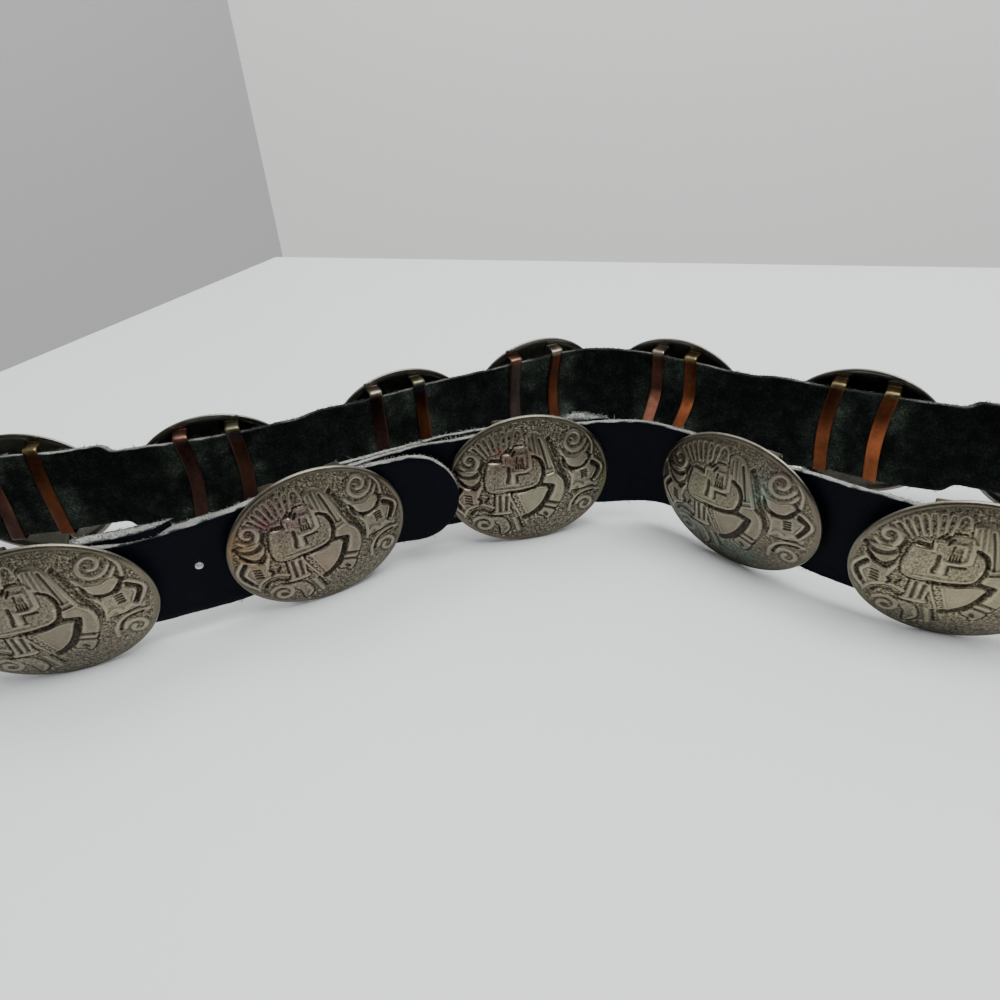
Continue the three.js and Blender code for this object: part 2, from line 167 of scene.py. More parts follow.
def lattice(x, y, scale, seed):
    """Smooth noise between -1 and 1 over a plane."""
    table = np.random.RandomState(seed).uniform(-1, 1, (64, 64))
    gx, gy = np.asarray(x) / scale, np.asarray(y) / scale
    ix, iy = np.floor(gx).astype(int), np.floor(gy).astype(int)
    tx, ty = ease(gx - ix), ease(gy - iy)
    low = table[ix % 64, iy % 64] * (1 - tx) + table[(ix + 1) % 64, iy % 64] * tx
    high = table[ix % 64, (iy + 1) % 64] * (1 - tx) + table[(ix + 1) % 64, (iy + 1) % 64] * tx
    return low * (1 - ty) + high * ty


def layers(x, y, scale, seed, count=3):
    """Several sizes of noise, each half as large and half as strong as the one before."""
    total = np.zeros(np.shape(x))
    for i in range(count):
        total = total + lattice(x, y, scale / 2**i, seed + i * 17) / 2**i
    return total / (2 - 0.5 ** (count - 1))


def blend_colours(a, b, share):
    return np.asarray(a) * (1 - share[..., None]) + np.asarray(b) * share[..., None]


def build_mesh(name, points, faces, materials, face_materials=None, paint=None, matrix=None):
    """A smooth mesh piece from points in millimetres."""
    mesh = bpy.data.meshes.new(name)
    mesh.from_pydata((np.asarray(points) * MM).tolist(), [], faces)
    for material in materials:
        mesh.materials.append(material)
    if face_materials is not None:
        mesh.polygons.foreach_set("material_index", np.asarray(face_materials, np.int32))
    mesh.polygons.foreach_set("use_smooth", np.ones(len(mesh.polygons), bool))
    if paint is not None:
        attribute = mesh.attributes.new("paint", "FLOAT_COLOR", "POINT")
        colours = np.ones((len(mesh.vertices), 4), np.float32)
        paint = np.asarray(paint)
        colours[:, : paint.shape[1]] = np.clip(paint, 0, 1)
        attribute.data.foreach_set("color", colours.ravel())
    mesh.update()
    piece = bpy.data.objects.new(name, mesh)
    bpy.context.scene.collection.objects.link(piece)
    if matrix is not None:
        piece.matrix_world = matrix
    return piece


# The relief. Tables hold points in shares of the half width and half height of a concho.
# Raised curved lines: width and height in millimetres
RIDGES = [
    ("first feather strip", 0.7, 0.45, [(-0.05, 0.75), (-0.04, 0.62), (-0.015, 0.50)]),
    ("second feather strip", 0.7, 0.45, [(0.0, 0.765), (0.015, 0.62), (0.035, 0.47)]),
    ("third feather strip", 0.6, 0.4, [(0.05, 0.75), (0.065, 0.62), (0.085, 0.45)]),
    ("feather edge", 1.0, 0.6, [
        (-0.05, 0.73), (0.015, 0.785), (0.10, 0.755), (0.165, 0.66), (0.225, 0.47), (0.30, 0.20),
    ]),
    ("forearm edge", 0.9, 0.5, [
        (0.30, 0.19), (0.385, 0.07), (0.405, -0.08), (0.385, -0.21), (0.34, -0.33),
    ]),
    ("leaf", 1.0, 0.4, [(-0.30, -0.60), (-0.26, -0.68), (-0.30, -0.77)]),
    ("column edge left", 0.8, 0.5, [(-0.27, -0.05), (-0.22, -0.22), (-0.12, -0.47)]),
    ("column edge right", 0.7, 0.45, [(-0.17, -0.06), (-0.12, -0.22), (-0.05, -0.42)]),
    ("left near blade", 1.0, 0.55, [(-0.58, 0.13), (-0.60, 0.03), (-0.635, -0.10)]),
    ("left far blade", 0.9, 0.5, [(-0.86, 0.11), (-0.80, 0.03), (-0.72, 0.0)]),
    ("left chevron", 1.1, 0.6, [
        (-0.85, 0.08), (-0.935, -0.06), (-0.95, -0.18), (-0.87, -0.32), (-0.80, -0.41),
    ]),
    ("left inner chevron", 0.8, 0.45, [(-0.80, -0.02), (-0.86, -0.14), (-0.80, -0.27)]),
    ("lower left arch", 1.1, 0.5, [
        (-0.79, -0.44), (-0.755, -0.33), (-0.66, -0.25), (-0.54, -0.245), (-0.45, -0.29),
    ]),
    ("right near blade", 1.0, 0.5, [(0.42, 0.30), (0.47, 0.17), (0.515, 0.06), (0.49, -0.16)]),
    ("right chevron", 1.3, 0.65, [
        (0.71, 0.31), (0.80, 0.28), (0.905, 0.13), (0.87, 0.02), (0.80, -0.09),
    ]),
    ("right inner chevron", 0.8, 0.5, [(0.73, 0.24), (0.815, 0.13), (0.765, -0.01)]),
    ("right mounds", 1.6, 0.4, [
        (0.50, -0.12), (0.585, -0.055), (0.66, -0.11), (0.735, -0.06), (0.83, -0.13),
    ]),
    ("lower right arch", 1.3, 0.55, [
        (0.50, -0.50), (0.515, -0.36), (0.60, -0.24), (0.72, -0.19), (0.86, -0.22),
    ]),
    ("bowl lip", 1.2, 0.55, [(0.355, 0.50), (0.41, 0.42), (0.54, 0.375), (0.66, 0.415), (0.72, 0.50)]),
    ("upper right tail", 1.0, 0.5, [(0.70, 0.66), (0.765, 0.52), (0.765, 0.37)]),
    ("great plume", 1.0, 0.55, [
        (-0.205, 0.70), (-0.19, 0.81), (-0.145, 0.845), (-0.10, 0.81), (-0.085, 0.72),
    ]),
    ("curl by the ear", 0.6, 0.4, [
        (-0.115, 0.72), (-0.07, 0.70), (-0.10, 0.66), (-0.065, 0.635), (-0.11, 0.60),
    ]),
]

# Raised straight runs: width and height in millimetres
BARS = [
    ("lip", 1.0, 0.5, [(-0.485, 0.39), (-0.325, 0.39), (-0.325, 0.50), (-0.235, 0.515)]),
    ("nose and mouth step", 1.5, 0.5, [
        (-0.01, 0.53), (-0.01, 0.315), (-0.08, 0.275), (-0.215, 0.265), (-0.22, 0.09),
    ]),
    ("foot of the step", 1.0, 0.5, [(-0.285, 0.078), (-0.155, 0.078)]),
    ("brow", 0.8, 0.35, [(-0.20, 0.50), (-0.075, 0.51), (-0.075, 0.39)]),
    ("arm band", 0.9, 0.8, [(0.15, 0.155), (0.305, 0.195)]),
    ("second arm band", 0.8, 0.5, [(0.165, 0.235), (0.29, 0.255)]),
    ("upper belt line", 0.7, 0.35, [(-0.42, 0.005), (-0.20, 0.01), (0.02, 0.045), (0.10, 0.09)]),
    ("first cuff", 0.8, 0.45, [(0.19, -0.29), (0.33, -0.355)]),
    ("spear", 1.3, 0.5, [(-0.20, -0.50), (-0.135, -0.75)]),
    ("spear shaft", 0.9, 0.4, [(-0.10, -0.46), (-0.04, -0.63)]),
    ("foot", 1.2, 0.4, [(-0.45, -0.40), (-0.24, -0.39)]),
]

# Cut lines: width and depth in millimetres
GROOVES = [
    ("back of the head", 1.2, 0.5, [
        (0.035, 0.46), (0.11, 0.395), (0.15, 0.275), (0.135, 0.14), (0.07, 0.02), (-0.09, -0.035),
        (-0.28, -0.05),
    ]),
    ("top of the apron", 1.2, 0.45, [(0.09, 0.04), (0.18, 0.02), (0.265, -0.005)]),
    ("side of the apron", 1.9, 0.6, [
        (0.255, -0.02), (0.23, -0.12), (0.18, -0.24), (0.10, -0.37), (0.0, -0.46), (-0.07, -0.50),
    ]),
    ("first cuff line", 0.7, 0.45, [(0.21, -0.25), (0.35, -0.315)]),
    ("second cuff line", 0.7, 0.45, [(0.165, -0.335), (0.30, -0.405)]),
    ("feather line", 0.7, 0.35, [(0.105, 0.69), (0.135, 0.58), (0.17, 0.42), (0.20, 0.26)]),
    ("outer feather", 1.4, 0.3, [(0.22, 0.68), (0.28, 0.53), (0.345, 0.30), (0.42, 0.10), (0.45, -0.05)]),
    ("front of the eye", 0.7, 0.35, [(-0.165, 0.48), (-0.165, 0.385), (-0.095, 0.38)]),
    ("cheek", 1.0, 0.45, [(-0.265, 0.33), (-0.265, 0.22), (-0.285, 0.12)]),
    ("under the nose", 0.7, 0.4, [(-0.165, 0.22), (-0.03, 0.23)]),
    ("side of the nose", 0.7, 0.4, [(-0.165, 0.21), (-0.165, 0.12)]),
    ("bowl bottom", 1.2, 0.5, [(0.40, 0.34), (0.44, 0.25), (0.55, 0.19), (0.66, 0.205), (0.745, 0.33)]),
    ("left bowl bottom", 1.2, 0.45, [
        (-0.89, 0.27), (-0.80, 0.20), (-0.70, 0.20), (-0.61, 0.27), (-0.56, 0.40),
    ]),
    ("under the left bowl", 1.1, 0.4, [(-0.84, 0.14), (-0.76, 0.055), (-0.67, 0.045), (-0.60, 0.10)]),
    ("right arch line", 1.0, 0.4, [(0.555, -0.40), (0.59, -0.30), (0.67, -0.24), (0.80, -0.23)]),
    ("chevron shade", 1.3, 0.5, [(0.77, 0.23), (0.865, 0.13), (0.80, -0.03)]),
    ("left chevron shade", 1.1, 0.45, [(-0.83, 0.02), (-0.905, -0.13), (-0.84, -0.29)]),
    ("leg line", 1.0, 0.4, [(-0.375, -0.10), (-0.37, -0.34)]),
    ("second leg line", 1.0, 0.4, [(-0.295, -0.12), (-0.30, -0.33)]),
    ("spear gap", 0.8, 0.4, [(-0.145, -0.50), (-0.09, -0.70)]),
    ("hand", 1.3, 0.5, [(0.185, -0.465), (0.20, -0.50)]),
    ("hollow of the mouth", 1.6, 0.25, [(-0.12, 0.43), (-0.12, 0.41)]),
    ("inner lip", 0.7, 0.3, [(-0.47, 0.44), (-0.37, 0.445)]),
    ("shell under the arch", 1.2, 0.35, [(-0.71, -0.41), (-0.66, -0.34), (-0.57, -0.33), (-0.49, -0.37)]),
]

# Raised fields: height in millimetres and how rough their tops are
FIELDS = [
    ("face", 0.4, 0.55, [
        (-0.50, 0.40), (-0.34, 0.41), (-0.33, 0.50), (-0.24, 0.53), (-0.19, 0.60), (-0.03, 0.61),
        (0.01, 0.47), (0.10, 0.39), (0.14, 0.28), (0.125, 0.15), (0.06, 0.03), (-0.09, -0.02),
        (-0.26, -0.035), (-0.42, -0.05), (-0.52, 0.0), (-0.545, 0.16),
    ]),
    ("feather", 0.45, 0.1, [
        (-0.05, 0.73), (0.015, 0.77), (0.10, 0.74), (0.165, 0.64), (0.22, 0.46), (0.295, 0.20),
        (0.16, 0.165), (0.165, 0.31), (0.12, 0.42), (0.04, 0.475), (-0.01, 0.52),
    ]),
    ("arm", 0.5, 0.12, [
        (0.145, 0.15), (0.29, 0.19), (0.385, 0.07), (0.40, -0.08), (0.375, -0.21), (0.345, -0.32),
        (0.295, -0.41), (0.165, -0.335), (0.215, -0.23), (0.275, -0.07), (0.28, 0.01), (0.15, 0.055),
    ]),
    ("apron", 0.6, 0.0, [
        (-0.18, -0.075), (-0.07, -0.055), (0.08, -0.01), (0.21, -0.03), (0.185, -0.12), (0.13, -0.26),
        (0.05, -0.37), (-0.035, -0.44), (-0.075, -0.38), (-0.125, -0.22),
    ]),
    ("hand", 0.45, 0.2, [
        (0.165, -0.35), (0.295, -0.415), (0.28, -0.50), (0.22, -0.58), (0.18, -0.52), (0.10, -0.46),
    ]),
    ("leg", 0.4, 0.35, [
        (-0.42, -0.07), (-0.25, -0.07), (-0.255, -0.30), (-0.23, -0.37), (-0.26, -0.41), (-0.45, -0.415),
        (-0.43, -0.33),
    ]),
    ("bowl", 0.5, 0.15, [
        (0.40, 0.41), (0.54, 0.36), (0.67, 0.40), (0.72, 0.33), (0.65, 0.23), (0.55, 0.215),
        (0.45, 0.27),
    ]),
    ("right flower", 0.4, 0.35, [
        (0.50, 0.16), (0.64, 0.17), (0.72, 0.22), (0.80, 0.13), (0.75, -0.01), (0.80, -0.12),
        (0.50, -0.13), (0.53, 0.04),
    ]),
    ("left flower", 0.35, 0.4, [
        (-0.80, 0.03), (-0.66, -0.01), (-0.61, 0.05), (-0.64, -0.12), (-0.60, -0.22), (-0.78, -0.33),
        (-0.90, -0.17), (-0.87, -0.05),
    ]),
    ("left bowl", 0.4, 0.4, [
        (-0.87, 0.28), (-0.62, 0.31), (-0.60, 0.18), (-0.68, 0.08), (-0.76, 0.09), (-0.84, 0.18),
    ]),
    ("shell", 0.3, 0.5, [
        (-0.53, -0.45), (-0.36, -0.47), (-0.28, -0.55), (-0.24, -0.72), (-0.34, -0.82), (-0.38, -0.62),
    ]),
]

# Volutes: centre, outer radius in millimetres, turns, where the outer end lies, way of winding
VOLUTES = [
    ("upper left", (-0.71, 0.44), 3.6, 1.15, 215, 1),
    ("upper right", (0.535, 0.62), 4.3, 1.25, -20, -1),
    ("lower left", (-0.56, -0.60), 3.8, 1.2, 150, -1),
    ("lower right", (0.70, -0.44), 3.4, 1.1, 160, -1),
]
VOLUTE_SHRINK = 0.74
VOLUTE_WIDTH = 1.2

# Rows of short cuts: middles of the first and last, count, length and width in millimetres, heading
TEETH = [
    ("face comb", (-0.175, 0.335), (-0.095, 0.335), 4, 1.3, 0.6, 90),
    ("crown teeth", (-0.275, 0.575), (-0.205, 0.53), 3, 1.6, 0.8, 55),
    ("right comb", (0.665, 0.135), (0.675, 0.03), 4, 1.7, 0.65, 4),
    ("left comb", (-0.745, -0.09), (-0.735, -0.22), 4, 1.8, 0.65, 170),
    ("knee", (-0.60, -0.20), (-0.52, -0.16), 2, 1.6, 0.8, 60),
]
TOOTH_DEPTH = 0.45

# Small coils down the column: first and last, count and radius in millimetres
COILS = [("column", (-0.195, -0.11), (-0.085, -0.42), 5, 0.62)]

# Short loops over the brow: foot and tip of the first and last, and how many
PLUMES = [("brow", (-0.565, 0.50), (-0.66, 0.60), (-0.25, 0.60), (-0.235, 0.80), 7)]
MOAT_WIDTH = 0.75
MOAT_DEPTH = 0.28


def smooth_line(points, steps=6):
    """A smooth line through points given in shares, in millimetres."""
    p = np.array(points, float) * HALF_SIZES
    if len(p) < 3:
        return p
    p = np.vstack([2 * p[0] - p[1], p, 2 * p[-1] - p[-2]])
    line = [p[1]]
    for a, b, c, d in zip(p[:-3], p[1:-2], p[2:-1], p[3:]):
        for t in np.linspace(0, 1, steps + 1)[1:]:
            bend = (2 * a - 5 * b + 4 * c - d) * t**2 + (3 * b - a - 3 * c + d) * t**3
            line.append(0.5 * (2 * b + (c - a) * t + bend))
    return np.array(line)


def near(x, y, line, reach):
    """Which points are close to a line, and how far they are from it."""
    low, high = line.min(0) - reach, line.max(0) + reach
    at = np.nonzero((x > low[0]) & (x < high[0]) & (y > low[1]) & (y < high[1]))[0]
    nearest = np.full(len(at), 1e9)
    for a, b in zip(line[:-1], line[1:]):
        run = b - a
        t = np.clip(((x[at] - a[0]) * run[0] + (y[at] - a[1]) * run[1]) / max(run @ run, 1e-9), 0, 1)
        nearest = np.minimum(nearest, np.hypot(x[at] - a[0] - t * run[0], y[at] - a[1] - t * run[1]))
    return at, nearest


def inside(x, y, outline):
    result = np.zeros(x.shape, bool)
    for a, b in zip(outline, np.roll(outline, -1, 0)):
        crosses = (a[1] > y) != (b[1] > y)
        result ^= crosses & (x < (b[0] - a[0]) * (y - a[1]) / (b[1] - a[1] + 1e-12) + a[0])
    return result


def press(heights, x, y, line, width, height):
    """Presses a rounded line into a map of heights or of depths."""
    at, gap = near(x, y, line, width * 1.2)
    heights[at] = np.maximum(heights[at], height * ease(1.65 - gap / width * 2.2))


def spiral(centre, radius, turns, start, winding):
    middle = np.array(centre) * HALF_SIZES
    t = np.linspace(0, 1, 40)
    angle = np.radians(start) + winding * t * turns * 2 * math.pi
    reach = radius * (1 - t * VOLUTE_SHRINK)
    return middle + np.stack([np.cos(angle), np.sin(angle)], 1) * reach[:, None]


def plumes():
    """Short loops side by side over the brow."""
    for _, first_foot, first_tip, last_foot, last_tip, count in PLUMES:
        for share in np.linspace(0, 1, count):
            swell = 0.05 * math.sin(share * math.pi)
            foot = np.array(first_foot) * (1 - share) + np.array(last_foot) * share
            tip = np.array(first_tip) * (1 - share) + np.array(last_tip) * share + (-swell * 0.4, swell)
            way = (tip - foot) / np.linalg.norm(tip - foot)
            side = np.array((way[1], -way[0])) * 0.026
            wide = side * 1.15
            yield smooth_line([foot - side, tip - wide, tip + way * 0.03, tip + wide, foot + side])


def circle(centre, radius):
    turn = np.linspace(0, 2 * math.pi, 13)
    return np.array(centre) * HALF_SIZES + radius * np.stack([np.cos(turn), np.sin(turn)], 1)


def row(first, last, count):
    """Points spread evenly from the first to the last."""
    return [np.array(first) * (1 - share) + np.array(last) * share for share in np.linspace(0, 1, count)]


def relief(x, y):
    """Heights of the raised fields, the raised lines and the cut lines, and how rough the metal is."""
    fields, lines, cuts = np.zeros(x.shape), np.zeros(x.shape), np.zeros(x.shape)
    moats, rough = np.zeros(x.shape), np.ones(x.shape)
    for _, height, roughness, outline in FIELDS:
        corners = smooth_line(outline + outline[:1], 4)[:-1]
        at, gap = near(x, y, np.vstack([corners, corners[:1]]), 1.3)
        within = inside(x[at], y[at], corners)
        slope = np.where(within, ease(gap / 0.55 + 0.35), ease(0.35 - gap / 0.55))
        fields[at] = np.maximum(fields[at], height * slope)
        rough[at] = np.minimum(rough[at], 1 - (1 - roughness) * slope)
        moat = MOAT_DEPTH * ease(1.2 - abs(gap - 0.4) / MOAT_WIDTH * 2)
        moats[at] = np.maximum(moats[at], np.where(within, 0, moat))
    for _, width, height, points in RIDGES:
        press(lines, x, y, smooth_line(points), width * RIDGE_WIDTH_SHARE, height)
    for _, width, height, points in BARS:
        press(lines, x, y, np.array(points) * HALF_SIZES, width * RIDGE_WIDTH_SHARE, height)
    for _, *shape in VOLUTES:
        press(lines, x, y, spiral(*shape), VOLUTE_WIDTH, 0.6)
    for line in plumes():
        press(lines, x, y, line, 0.6, 0.5)
    for _, first, last, count, radius in COILS:
        for centre in row(first, last, count):
            press(lines, x, y, circle(centre, radius), 0.55, 0.45)
    for _, width, depth, points in GROOVES:
        press(cuts, x, y, smooth_line(points), width, depth)
    for _, first, last, count, length, width, heading in TEETH:
        way = np.array((math.cos(math.radians(heading)), math.sin(math.radians(heading)))) * length / 2
        for centre in row(first, last, count):
            middle = centre * HALF_SIZES
            press(cuts, x, y, np.array([middle - way, middle + way]), width, TOOTH_DEPTH)
    cuts = np.maximum(cuts, moats * (fields < 0.1) * (lines < 0.15))
    rough = rough * ease(1.1 - lines * 3)
    return fields, lines, cuts, rough


# Materials
def new_material(name, metallic=0.0, roughness=0.5):
    material = bpy.data.materials.new(name)
    material.use_nodes = True
    shader = material.node_tree.nodes["Principled BSDF"]
    shader.inputs["Metallic"].default_value = metallic
    shader.inputs["Roughness"].default_value = roughness
    return material, material.node_tree, shader


def noise_node(tree, scale, detail=4.0, roughness=0.6, stretch=None):
    """A noise texture in the piece's own space. scale counts spots in a metre."""
    place = tree.nodes.new("ShaderNodeTexCoord")
    noise = tree.nodes.new("ShaderNodeTexNoise")
    noise.inputs["Scale"].default_value = scale
    noise.inputs["Detail"].default_value = detail
    noise.inputs["Roughness"].default_value = roughness
    source = place.outputs["Object"]
    if stretch:
        mapping = tree.nodes.new("ShaderNodeMapping")
        mapping.inputs["Scale"].default_value = stretch
        tree.links.new(source, mapping.inputs["Vector"])
        source = mapping.outputs["Vector"]
    tree.links.new(source, noise.inputs["Vector"])
    return noise.outputs["Fac"]


def ramp_node(tree, source, stops):
    ramp = tree.nodes.new("ShaderNodeValToRGB")
    while len(ramp.color_ramp.elements) < len(stops):
        ramp.color_ramp.elements.new(0.5)
    for element, (position, colour) in zip(ramp.color_ramp.elements, stops):
        element.position = position
        element.color = (*colour, 1) if len(colour) == 3 else colour
    tree.links.new(source, ramp.inputs["Fac"])
    return ramp.outputs["Color"]


def multiply(tree, a, b, share=1.0):
    """One colour times another. The share says how much of the second counts."""
    mix = tree.nodes.new("ShaderNodeMix")
    mix.data_type = "RGBA"
    mix.blend_type = "MULTIPLY"
    for key, value in (("Factor", share), ("A", a), ("B", b)):
        socket = next(s for s in mix.inputs if s.name == key and s.enabled)
        if hasattr(value, "links"):
            tree.links.new(value, socket)
        else:
            socket.default_value = value if key == "Factor" else (*value, 1)
    return next(s for s in mix.outputs if s.enabled)


def paint_node(tree):
    attribute = tree.nodes.new("ShaderNodeAttribute")
    attribute.attribute_name = "paint"
    return attribute.outputs["Color"]


def bump_node(tree, shader, heights):
    """Bumps of several sizes, one after the other: (height source, depth in metres)."""
    normal = None
    for source, depth in heights:
        bump = tree.nodes.new("ShaderNodeBump")
        bump.inputs["Distance"].default_value = depth
        bump.inputs["Strength"].default_value = 1.0
        tree.links.new(source, bump.inputs["Height"])
        if normal:
            tree.links.new(normal, bump.inputs["Normal"])
        normal = bump.outputs["Normal"]
    tree.links.new(normal, shader.inputs["Normal"])


def grey(value):
    return (value, value, value)


def aged_silver():
    """Oxidised nickel silver. The paint's alpha says where the rough ground is."""
    material, tree, shader = new_material("aged_silver", 1.0, 0.36)
    attribute = tree.nodes.new("ShaderNodeAttribute")
    attribute.attribute_name = "paint"
    pits = noise_node(tree, 1900, 2, 0.55)
    fine = noise_node(tree, 2900, 3)
    broad = noise_node(tree, 240, 4)
    pitted = ramp_node(tree, pits, [(0.38, grey(0.16)), (0.52, grey(0.95)), (0.64, grey(1.25))])
    speckle = ramp_node(tree, fine, [(0.3, grey(0.7)), (0.7, grey(1.15))])
    cloud = ramp_node(tree, broad, [(0.3, grey(0.82)), (0.75, grey(1.12))])
    colour = multiply(tree, attribute.outputs["Color"], pitted, attribute.outputs["Alpha"])
    colour = multiply(tree, colour, speckle)
    colour = multiply(tree, colour, cloud)
    tree.links.new(colour, shader.inputs["Base Color"])
    rough = ramp_node(tree, broad, [(0.3, grey(0.27)), (0.75, grey(0.42))])
    tree.links.new(rough, shader.inputs["Roughness"])
    masked = multiply(tree, pitted, attribute.outputs["Alpha"])
    bump_node(tree, shader, [(masked, 0.00012), (fine, 0.00005)])
    return material


def tarnished_copper():
    material, tree, shader = new_material("tarnished_copper", 0.95, 0.38)
    streaks = noise_node(tree, 700, 4, 0.6, (1, 1, 0.15))
    cloud = ramp_node(tree, streaks, [(0.3, grey(0.7)), (0.7, grey(1.15))])
    colour = multiply(tree, paint_node(tree), cloud)
    tree.links.new(colour, shader.inputs["Base Color"])
    rough = ramp_node(tree, streaks, [(0.3, grey(0.3)), (0.7, grey(0.5))])
    tree.links.new(rough, shader.inputs["Roughness"])
    bump_node(tree, shader, [(noise_node(tree, 900, 3), 0.00008)])
    return material


def solder():
    material, tree, shader = new_material("solder", 0.85, 0.5)
    spots = noise_node(tree, 1500, 4)
    colour = ramp_node(tree, spots, [(0.3, (0.10, 0.10, 0.09)), (0.7, (0.32, 0.31, 0.28))])
    tree.links.new(colour, shader.inputs["Base Color"])
    bump_node(tree, shader, [(spots, 0.0002)])
    return material


def black_leather():
    material, tree, shader = new_material("black_leather", 0.0, 0.42)
    pores = noise_node(tree, 1900, 3, 0.55)
    wear = noise_node(tree, 90, 5, 0.65)
    colour = ramp_node(tree, wear, [(0.3, (0.0012, 0.0017, 0.0034)), (0.72, (0.0026, 0.0036, 0.0072))])
    tree.links.new(colour, shader.inputs["Base Color"])
    rough = ramp_node(tree, wear, [(0.3, grey(0.42)), (0.75, grey(0.6))])
    tree.links.new(rough, shader.inputs["Roughness"])
    shader.inputs["Specular IOR Level"].default_value = 0.045
    bump_node(tree, shader, [(pores, 0.00006), (wear, 0.0004)])
    return material


def suede():
    material, tree, shader = new_material("leather_flesh_side", 0.0, 0.95)
    nap = noise_node(tree, 1500, 5, 0.7)
    patches = noise_node(tree, 170, 5, 0.7)
    speckle = ramp_node(tree, nap, [(0.35, grey(0.35)), (0.55, grey(1.0)), (0.72, grey(2.8))])
    cloud = ramp_node(tree, patches, [(0.36, grey(0.55)), (0.52, grey(1.0)), (0.68, grey(1.8))])
    colour = multiply(tree, paint_node(tree), speckle)
    colour = multiply(tree, colour, cloud)
    tree.links.new(colour, shader.inputs["Base Color"])
    shader.inputs["Specular IOR Level"].default_value = 0.05
    bump_node(tree, shader, [(nap, 0.0004), (patches, 0.0006)])
    return material


def cut_leather():
    material, tree, shader = new_material("leather_cut_edge", 0.0, 1.0)
    fuzz = noise_node(tree, 1700, 4, 0.7)
    speckle = ramp_node(tree, fuzz, [(0.3, grey(0.55)), (0.68, grey(1.25))])
    colour = multiply(tree, paint_node(tree), speckle)
    tree.links.new(colour, shader.inputs["Base Color"])
    shader.inputs["Specular IOR Level"].default_value = 0.1
    bump_node(tree, shader, [(fuzz, 0.0005)])
    return material


def plain(name, colour, roughness, glow=0.0):
    material, _, shader = new_material(name, 0.0, roughness)
    shader.inputs["Base Color"].default_value = (*colour, 1)
    shader.inputs["Emission Color"].default_value = (*colour, 1)
    shader.inputs["Emission Strength"].default_value = glow
    shader.inputs["Specular IOR Level"].default_value = 0.3
    return material


silver_material = aged_silver()
copper_material = tarnished_copper()
solder_material = solder()
leather_material = black_leather()
suede_material = suede()
cut_material = cut_leather()
table_material = plain("white_table", (0.84, 0.86, 0.86), 0.4)
wall_material = plain("pale_wall", (0.80, 0.798, 0.78), 0.9, 0.5)
side_wall_material = plain("grey_wall", (0.42, 0.42, 0.425), 0.9, 0.4)


# A concho's plate
def dome_inside(x, y):
    return DOME_DEPTH * np.maximum(0, 1 - (x / HALF_WIDTH) ** 2 - (y / HALF_HEIGHT) ** 2)


def disc_grid(cells):
    """A square grid of points laid over a disc so that its cells keep even sizes."""
    side = np.linspace(-1, 1, cells + 1)
    a, b = np.meshgrid(side, side)
    wide = np.abs(a) > np.abs(b)
    radius = np.where(wide, a, b)
    safe_a = np.where(a == 0, 1e-9, a)
    safe_b = np.where(b == 0, 1e-9, b)
    turn = np.where(wide, (math.pi / 4) * (b / safe_a), math.pi / 2 - (math.pi / 4) * (a / safe_b))
    return radius * np.cos(turn), radius * np.sin(turn)


def edge_of_grid(cells):
    """Places of the grid's outer points, going round anticlockwise."""
    row = cells + 1
    low = list(range(cells))
    right = [i * row + cells for i in range(cells)]
    high = [cells * row + cells - i for i in range(cells)]
    left = [(cells - i) * row for i in range(cells)]
    return low + right + high + left


def box_blur(heights, reach):
    """A local mean over a square of the grid."""
    size = 2 * reach + 1
    padded = np.pad(heights, reach, mode="edge")
    total = np.cumsum(np.cumsum(np.pad(padded, ((1, 0), (1, 0))), 0), 1)
    window = total[size:, size:] - total[:-size, size:] - total[size:, :-size] + total[:-size, :-size]
    return window / size**2


# Silver colours; the first is for raised parts, painted brighter as polished wear and painted highlight
SILVER_POLISH_AND_HIGHLIGHT = (0.34, 0.305, 0.235)
SILVER_FIELD = (0.18, 0.157, 0.115)
SILVER_GROUND = (0.16, 0.14, 0.1)
SILVER_DEEP = (0.043, 0.035, 0.026)
SILVER_RIM = (0.20, 0.185, 0.15)
SILVER_LIP = (0.21, 0.205, 0.18)
SILVER_BACK = (0.17, 0.165, 0.13)

